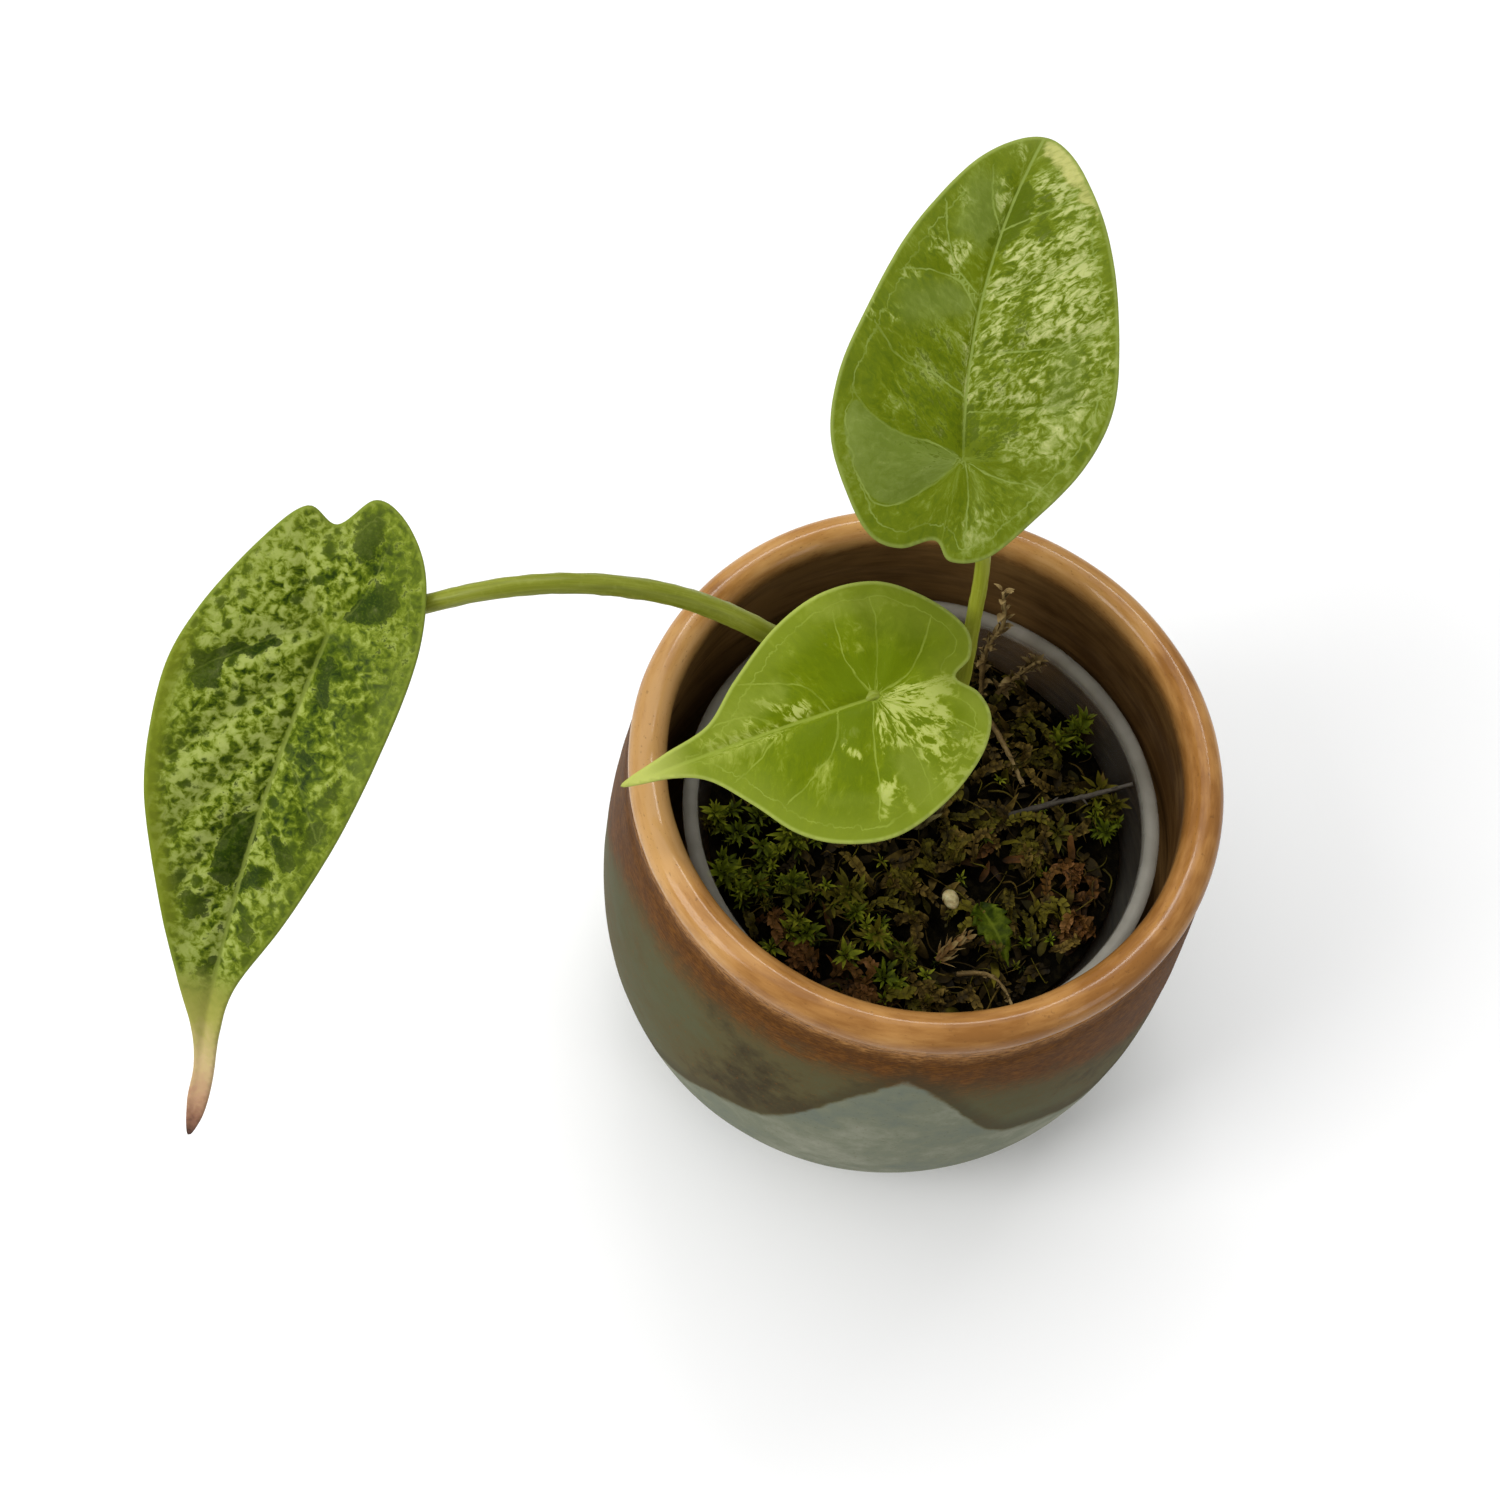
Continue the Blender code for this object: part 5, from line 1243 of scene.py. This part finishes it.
# each route is (x, y, height above the bed) in mm; forks of the twig are (share of its length, turn)
strands = {
    "dry_sprig_tall": {
        "name": "drySprigTall", "radius": 0.36, "leaflets": 70, "leafSize": 1.7,
        "route": [(4.4, 22.4, 0.9), (3.2, 24.2, 5.0), (2.6, 25.6, 10.0), (3.6, 26.8, 15.0),
                  (2.2, 28.2, 20.5)]},
    "dry_sprig_low": {
        "name": "drySprigLow", "radius": 0.38, "leaflets": 60, "leafSize": 1.8,
        "route": [(6.0, 24.6, 1.0), (7.6, 26.0, 4.6), (9.6, 27.2, 8.2)]},
    "dry_strand": {
        "name": "dryStrand", "radius": 0.46, "leaflets": 26, "leafSize": 1.1,
        "route": [(5.0, 20.6, 1.4), (7.2, 18.4, 2.4), (9.2, 16.2, 2.6), (10.8, 14.6, 2.2),
                  (13.0, 12.4, 1.0)]},
    "curled_strand": {
        "name": "curledStrand", "radius": 0.36, "leaflets": 12, "leafSize": 0.9,
        "route": [(12.4, -16.6, 1.0), (14.6, -16.0, 2.1), (16.8, -15.8, 2.1), (18.8, -16.6, 1.4),
                  (20.2, -18.0, 1.0)]},
    "twig": {
        "name": "bareTwig", "radius": 0.46, "leaflets": 0, "leafSize": 0.0,
        "route": [(12.2, 6.6, 1.1), (17.0, 9.6, 3.0), (22.0, 12.4, 4.6), (26.6, 15.0, 6.2)],
        "forks": [(0.35, 0.9), (0.62, -0.8), (0.8, 0.6)]},
}
# deep, middle and pale shade of each dry finish
dryShades = {
    "dry moss": [(0.040, 0.024, 0.007), (0.175, 0.112, 0.034), (0.430, 0.315, 0.130)],
    "grey bark": [(0.016, 0.012, 0.008), (0.055, 0.046, 0.034), (0.150, 0.130, 0.100)],
    "bud scales": [(0.080, 0.036, 0.010), (0.235, 0.130, 0.036), (0.500, 0.410, 0.170)],
}
bud = {
    "start": (-1.7, -2.1, 0.4), "end": (1.5, 1.7, 1.0),       # mm from the frame's bud
    "bend": (-0.3, 0.25, 0.2), "thickness": 0.34, "scales": 26, "scaleTurn": 2.4, "scaleWidth": 0.30,
}


def dryFinish(name):
    husk = Finish(name, {"Specular IOR Level": 0.3})
    grains = husk.cloud(husk.place(), 1100, 4, 0.65)
    tone = husk.reading("tipward") * 0.45 + grains * 0.8 - 0.12
    colour = husk.shades(tone, list(zip((0.10, 0.45, 0.92), dryShades[name])))
    return husk.done(colour, husk.step(grains, 0.3, 0.7, 0.6, 0.85), grains, 0.8, 0.2)


def shadedFrom(low, shape):
    # the shape with its shades starting at low instead of 0
    points, faces, given = shape
    return points, faces, {"tipward": low + (1 - low) * given["tipward"]}


def makeStrands(rnd):
    tan, bark = dryFinish("dry moss"), dryFinish("grey bark")
    for node, strand in strands.items():
        path = smoothCurve([(x, y, bedHeight(x, y) + above) for x, y, above in strand["route"]], 8)
        count, leaflets = len(path), strand["leaflets"]
        radii = strand["radius"] * np.linspace(1.0, 0.55, count)
        shapes = [tubeShape(path, radii, 12, wobble=0.55, seed=len(node))]
        ahead = path[min(count - 1, 1 + int(count * 0.5))] - path[0]
        ahead = ahead / np.linalg.norm(ahead)
        for k in range(leaflets):
            at = path[min(int(count * (0.08 + 0.92 * (k + rnd.random() * 0.6) / leaflets)), count - 1)]
            turn = rnd.uniform(0, 2 * pi)
            outward = np.array([cos(turn), sin(turn), rnd.uniform(-0.1, 0.5)])
            forward = outward + ahead * rnd.uniform(0.3, 0.9)
            size = strand["leafSize"] * rnd.uniform(0.6, 1.2)
            shape = leafletShape(at, forward, ahead, size, size * rnd.uniform(0.16, 0.26),
                                 rnd.uniform(-0.6, 0.8), 6, 0.4)
            shapes.append(shadedFrom(0.3, shape))
        for share, turn in strand.get("forks", []):
            start = path[int(share * (count - 1))]
            end = start + np.array([1.5 * cos(turn), 1.5 * sin(turn), 0.7])
            middle = (start + end) / 2 + (0, 0, 0.15)
            shapes.append(tubeShape([start, middle, end], [0.22, 0.17, 0.08], 8, wobble=0.4))
        finish, slotName = (bark, "twig") if node == "twig" else (tan, "dry_moss")
        makeJoined(strand["name"], shapes, finish, [node])


def makeBud(rnd):
    # a dry bud of overlapping pointed scales
    low, high = boxOf("dry_bud")
    middle, scales = (low + high) / 2, bud["scales"]
    start = np.array([middle.x, middle.y, low.z]) + bud["start"]
    end = np.array([middle.x, middle.y, high.z]) + bud["end"]
    axis = (end - start) / np.linalg.norm(end - start)
    core = smoothCurve([start, start * 0.55 + end * 0.45 + bud["bend"], end], 8)
    radii = bud["thickness"] * np.sin(np.linspace(0.3, 1.0, len(core)) * pi) + 0.07
    shapes = [tubeShape(core, radii, 12, wobble=0.3)]
    across = np.cross(axis, (0, 0, 1))
    across /= np.linalg.norm(across)
    for k in range(scales):
        share, turn = k / scales, k * bud["scaleTurn"]
        at = core[int(share * 0.92 * (len(core) - 1))]
        outward = across * cos(turn) + np.cross(across, axis) * sin(turn)
        forward = axis + outward * rnd.uniform(0.45, 1.05) * (1 - 0.55 * share)
        length = (2.5 - 1.1 * share) * rnd.uniform(0.8, 1.15)
        shape = leafletShape(at + outward * 0.16, forward, outward, length, bud["scaleWidth"],
                             rnd.uniform(-0.35, 0.45), 9, 0.55)
        shapes.append(shadedFrom(0.15, shape))
    makeJoined("dryBud", shapes, dryFinish("bud scales"), ["dry_bud"])


leaflet = {
    "base": (12.6, -7.0), "tip": (18.4, -13.4), "rise": 1.6, "teeth": 6, "halfWidth": 2.3,
    "rows": 72, "across": 13, "thickness": 0.22,
    "green": (0.052, 0.075, 0.002), "deep": (0.018, 0.030, 0.001), "bright": (0.110, 0.140, 0.009),
}


def leafletFinish():
    skin = Finish("small green leaf", {"IOR": 1.42, "Specular IOR Level": 0.08})
    tone = skin.cloud(skin.place(), 700, 4, 0.6)
    colour = skin.shades(tone, stopsOf(leaflet, (0.36, "deep"), (0.52, "green"), (0.68, "bright")))
    colour = skin.mixed(skin.step(skin.reading("spine"), 0.05, 0.3, 0.6, 0.0), colour, leaflet["bright"])
    return skin.done(colour, skin.step(tone, 0.3, 0.7, 0.45, 0.6), tone, 0.5, 0.15)


def makeLeaflet():
    low, _ = boxOf("green_leaflet")
    base, tip = np.array(leaflet["base"]), np.array(leaflet["tip"])
    forward = (tip - base) / np.linalg.norm(tip - base)
    side = np.array([-forward[1], forward[0]])
    rows, wide = leaflet["rows"], leaflet["across"]
    points, tipward, spine = [], [], []
    for i in range(rows):
        t = i / (rows - 1)
        saw = (t * leaflet["teeth"]) % 1
        swell = sin(pi * min(t * 1.05, 1.0) ** 0.8) ** 0.7
        half = leaflet["halfWidth"] * (swell * (0.72 + 0.38 * saw) + 0.08) * (1 - 0.45 * t ** 3)
        for k in range(wide):
            s = 2 * k / (wide - 1) - 1
            flat = base + (tip - base) * t + side * s * half - forward * abs(s) * 0.5
            ripple = 0.16 * sin(18 * t + 3 * s) * abs(s)
            height = (low.z + 0.45 + leaflet["rise"] * sin(pi * t) + 0.75 * abs(s) ** 1.5 * (1 - t) + ripple
                      - 0.12 * exp(-(s / 0.12) ** 2))
            points.append((flat[0], flat[1], height))
            tipward.append(t)
            spine.append(abs(s) * half)
    faces = [(i * wide + k, i * wide + k + 1, (i + 1) * wide + k + 1, (i + 1) * wide + k)
             for i in range(rows - 1) for k in range(wide - 1)]
    piece = makePiece("greenLeaflet", points, faces, [leafletFinish()], ["green_leaflet"],
                      {"tipward": tipward, "spine": spine})
    thicken(piece, leaflet["thickness"])


seed = {"turn": -48, "dent": 0.05, "pits": 0.02, "groove": 0.03, "taper": 0.16,
        "shades": [(0.34, (0.34, 0.26, 0.10)), (0.52, (0.58, 0.49, 0.23)), (0.70, (0.72, 0.64, 0.36))]}


def seedFinish():
    coat = Finish("cream seed coat", {
        "Specular IOR Level": 0.4, "Subsurface Weight": 0.1, "Subsurface Scale": 0.001})
    grains = coat.cloud(coat.place((0.5, 1, 1)), 1600, 4, 0.6)
    colour = coat.shades(grains, seed["shades"])
    return coat.done(colour, coat.step(grains, 0.3, 0.7, 0.42, 0.58), grains, 0.4, 0.1)


def makeSeed():
    low, high = boxOf("seed")
    middle, size = (low + high) / 2, (high - low) / 2
    bm = bmesh.new()
    bmesh.ops.create_icosphere(bm, subdivisions=5, radius=1.0)
    for v in bm.verts:
        p = v.co.copy()
        dent = 1 + seed["dent"] * noise.noise(p * 1.6) + seed["pits"] * noise.noise(p * 6)
        groove = seed["groove"] * exp(-(p.y / 0.16) ** 2) * max(p.z, 0)
        taper = 1 - seed["taper"] * p.x                       # one end blunter than the other
        v.co = Vector((p.x * size.x, p.y * size.y * taper, p.z * size.z * taper)) * (dent - groove)
    turn = Matrix.Rotation(radians(seed["turn"]), 3, "Z")
    points = [turn @ v.co + middle for v in bm.verts]
    faces = [tuple(v.index for v in f.verts) for f in bm.faces]
    bm.free()
    makePiece("creamSeed", points, faces, [seedFinish()], ["seed"])


strandDraws = Random(5)
makeStrands(strandDraws)
makeBud(strandDraws)
makeLeaflet()
makeSeed()
print("strands, bud, leaflet and seed made")


studio = {
    "floorSize": 6.0, "floorDrop": 0.2,                       # in metres, and in mm below the pot
    "floorColour": (0.93, 0.93, 0.93), "floorPale": (0.95, 0.95, 0.95),
    "worldColour": (1.0, 1.0, 1.0), "worldStrength": 0.46, "target": (0, 0, 0.06),
    # name: (place in metres, size, energy in watts)
    "lights": {"windowLeft": ((-0.43, -0.34, 0.52), (0.28, 0.44), 2.6),
               "softTop": ((-0.34, 0.16, 0.78), (0.9, 0.9), 3.5),
               "stripTop": ((-0.04, 0.42, 0.70), (0.50, 0.08), 1.5),
               "fillRight": ((0.55, -0.20, 0.30), (0.14, 0.26), 0.30)},
    # place in metres, turns in degrees, lens in mm
    "cameraPlace": (0.0, -0.1008, 0.2637), "yaw": 12.42, "down": 63.79, "roll": 7.71, "lens": 43.2,
}


def addToScene(name, data):
    thing = bpy.data.objects.new(name, data)
    bpy.context.scene.collection.objects.link(thing)
    return thing


def makeFloor():
    half = studio["floorSize"] / 2
    corners = [(-half, -half, 0), (half, -half, 0), (half, half, 0), (-half, half, 0)]
    data = bpy.data.meshes.new("floor")
    data.from_pydata(corners, [], [(0, 1, 2, 3)])
    floor = addToScene("floor", data)
    floor.location.z = -studio["floorDrop"] * mm
    paint = Finish("white floor", {"Roughness": 0.9, "Specular IOR Level": 0.1})
    tone = paint.cloud(paint.place(), 3, 2)
    colour = paint.shades(tone, [(0.3, studio["floorColour"]), (0.7, studio["floorPale"])])
    paint.fill(paint.shader, {"Base Color": colour})
    data.materials.append(paint.material)


def makeLights():
    world = bpy.data.worlds.new("studio")
    bpy.context.scene.world = world
    world.use_nodes = True
    background = world.node_tree.nodes["Background"].inputs
    background["Color"].default_value = (*studio["worldColour"], 1)
    background["Strength"].default_value = studio["worldStrength"]
    for name, (place, size, energy) in studio["lights"].items():
        light = bpy.data.lights.new(name, "AREA")
        light.shape = "RECTANGLE"
        light.size, light.size_y = size
        light.energy = energy
        lamp = addToScene(name, light)
        lamp.location = place
        aim = Vector(studio["target"]) - Vector(place)
        lamp.rotation_euler = aim.to_track_quat("-Z", "Y").to_euler()


def makeCamera():
    yaw, down, roll = (radians(studio[key]) for key in ("yaw", "down", "roll"))
    ahead = Vector((-sin(yaw) * cos(down), cos(yaw) * cos(down), -sin(down)))
    right = Vector((cos(yaw), sin(yaw), 0))
    up = right.cross(ahead)
    rolled = right * cos(roll) + up * sin(roll), up * cos(roll) - right * sin(roll)
    camera = addToScene("camera", bpy.data.cameras.new("camera"))
    camera.data.lens = studio["lens"]
    camera.data.sensor_width = 36
    camera.data.clip_start, camera.data.clip_end = 0.005, 20
    turned = Matrix((*rolled, -ahead)).transposed().to_4x4()
    camera.matrix_world = Matrix.Translation(studio["cameraPlace"]) @ turned
    bpy.context.scene.camera = camera
    bpy.context.scene.view_settings.view_transform = "Standard"


makeFloor()
makeLights()
makeCamera()
print("studio set")

bpy.context.view_layer.update()
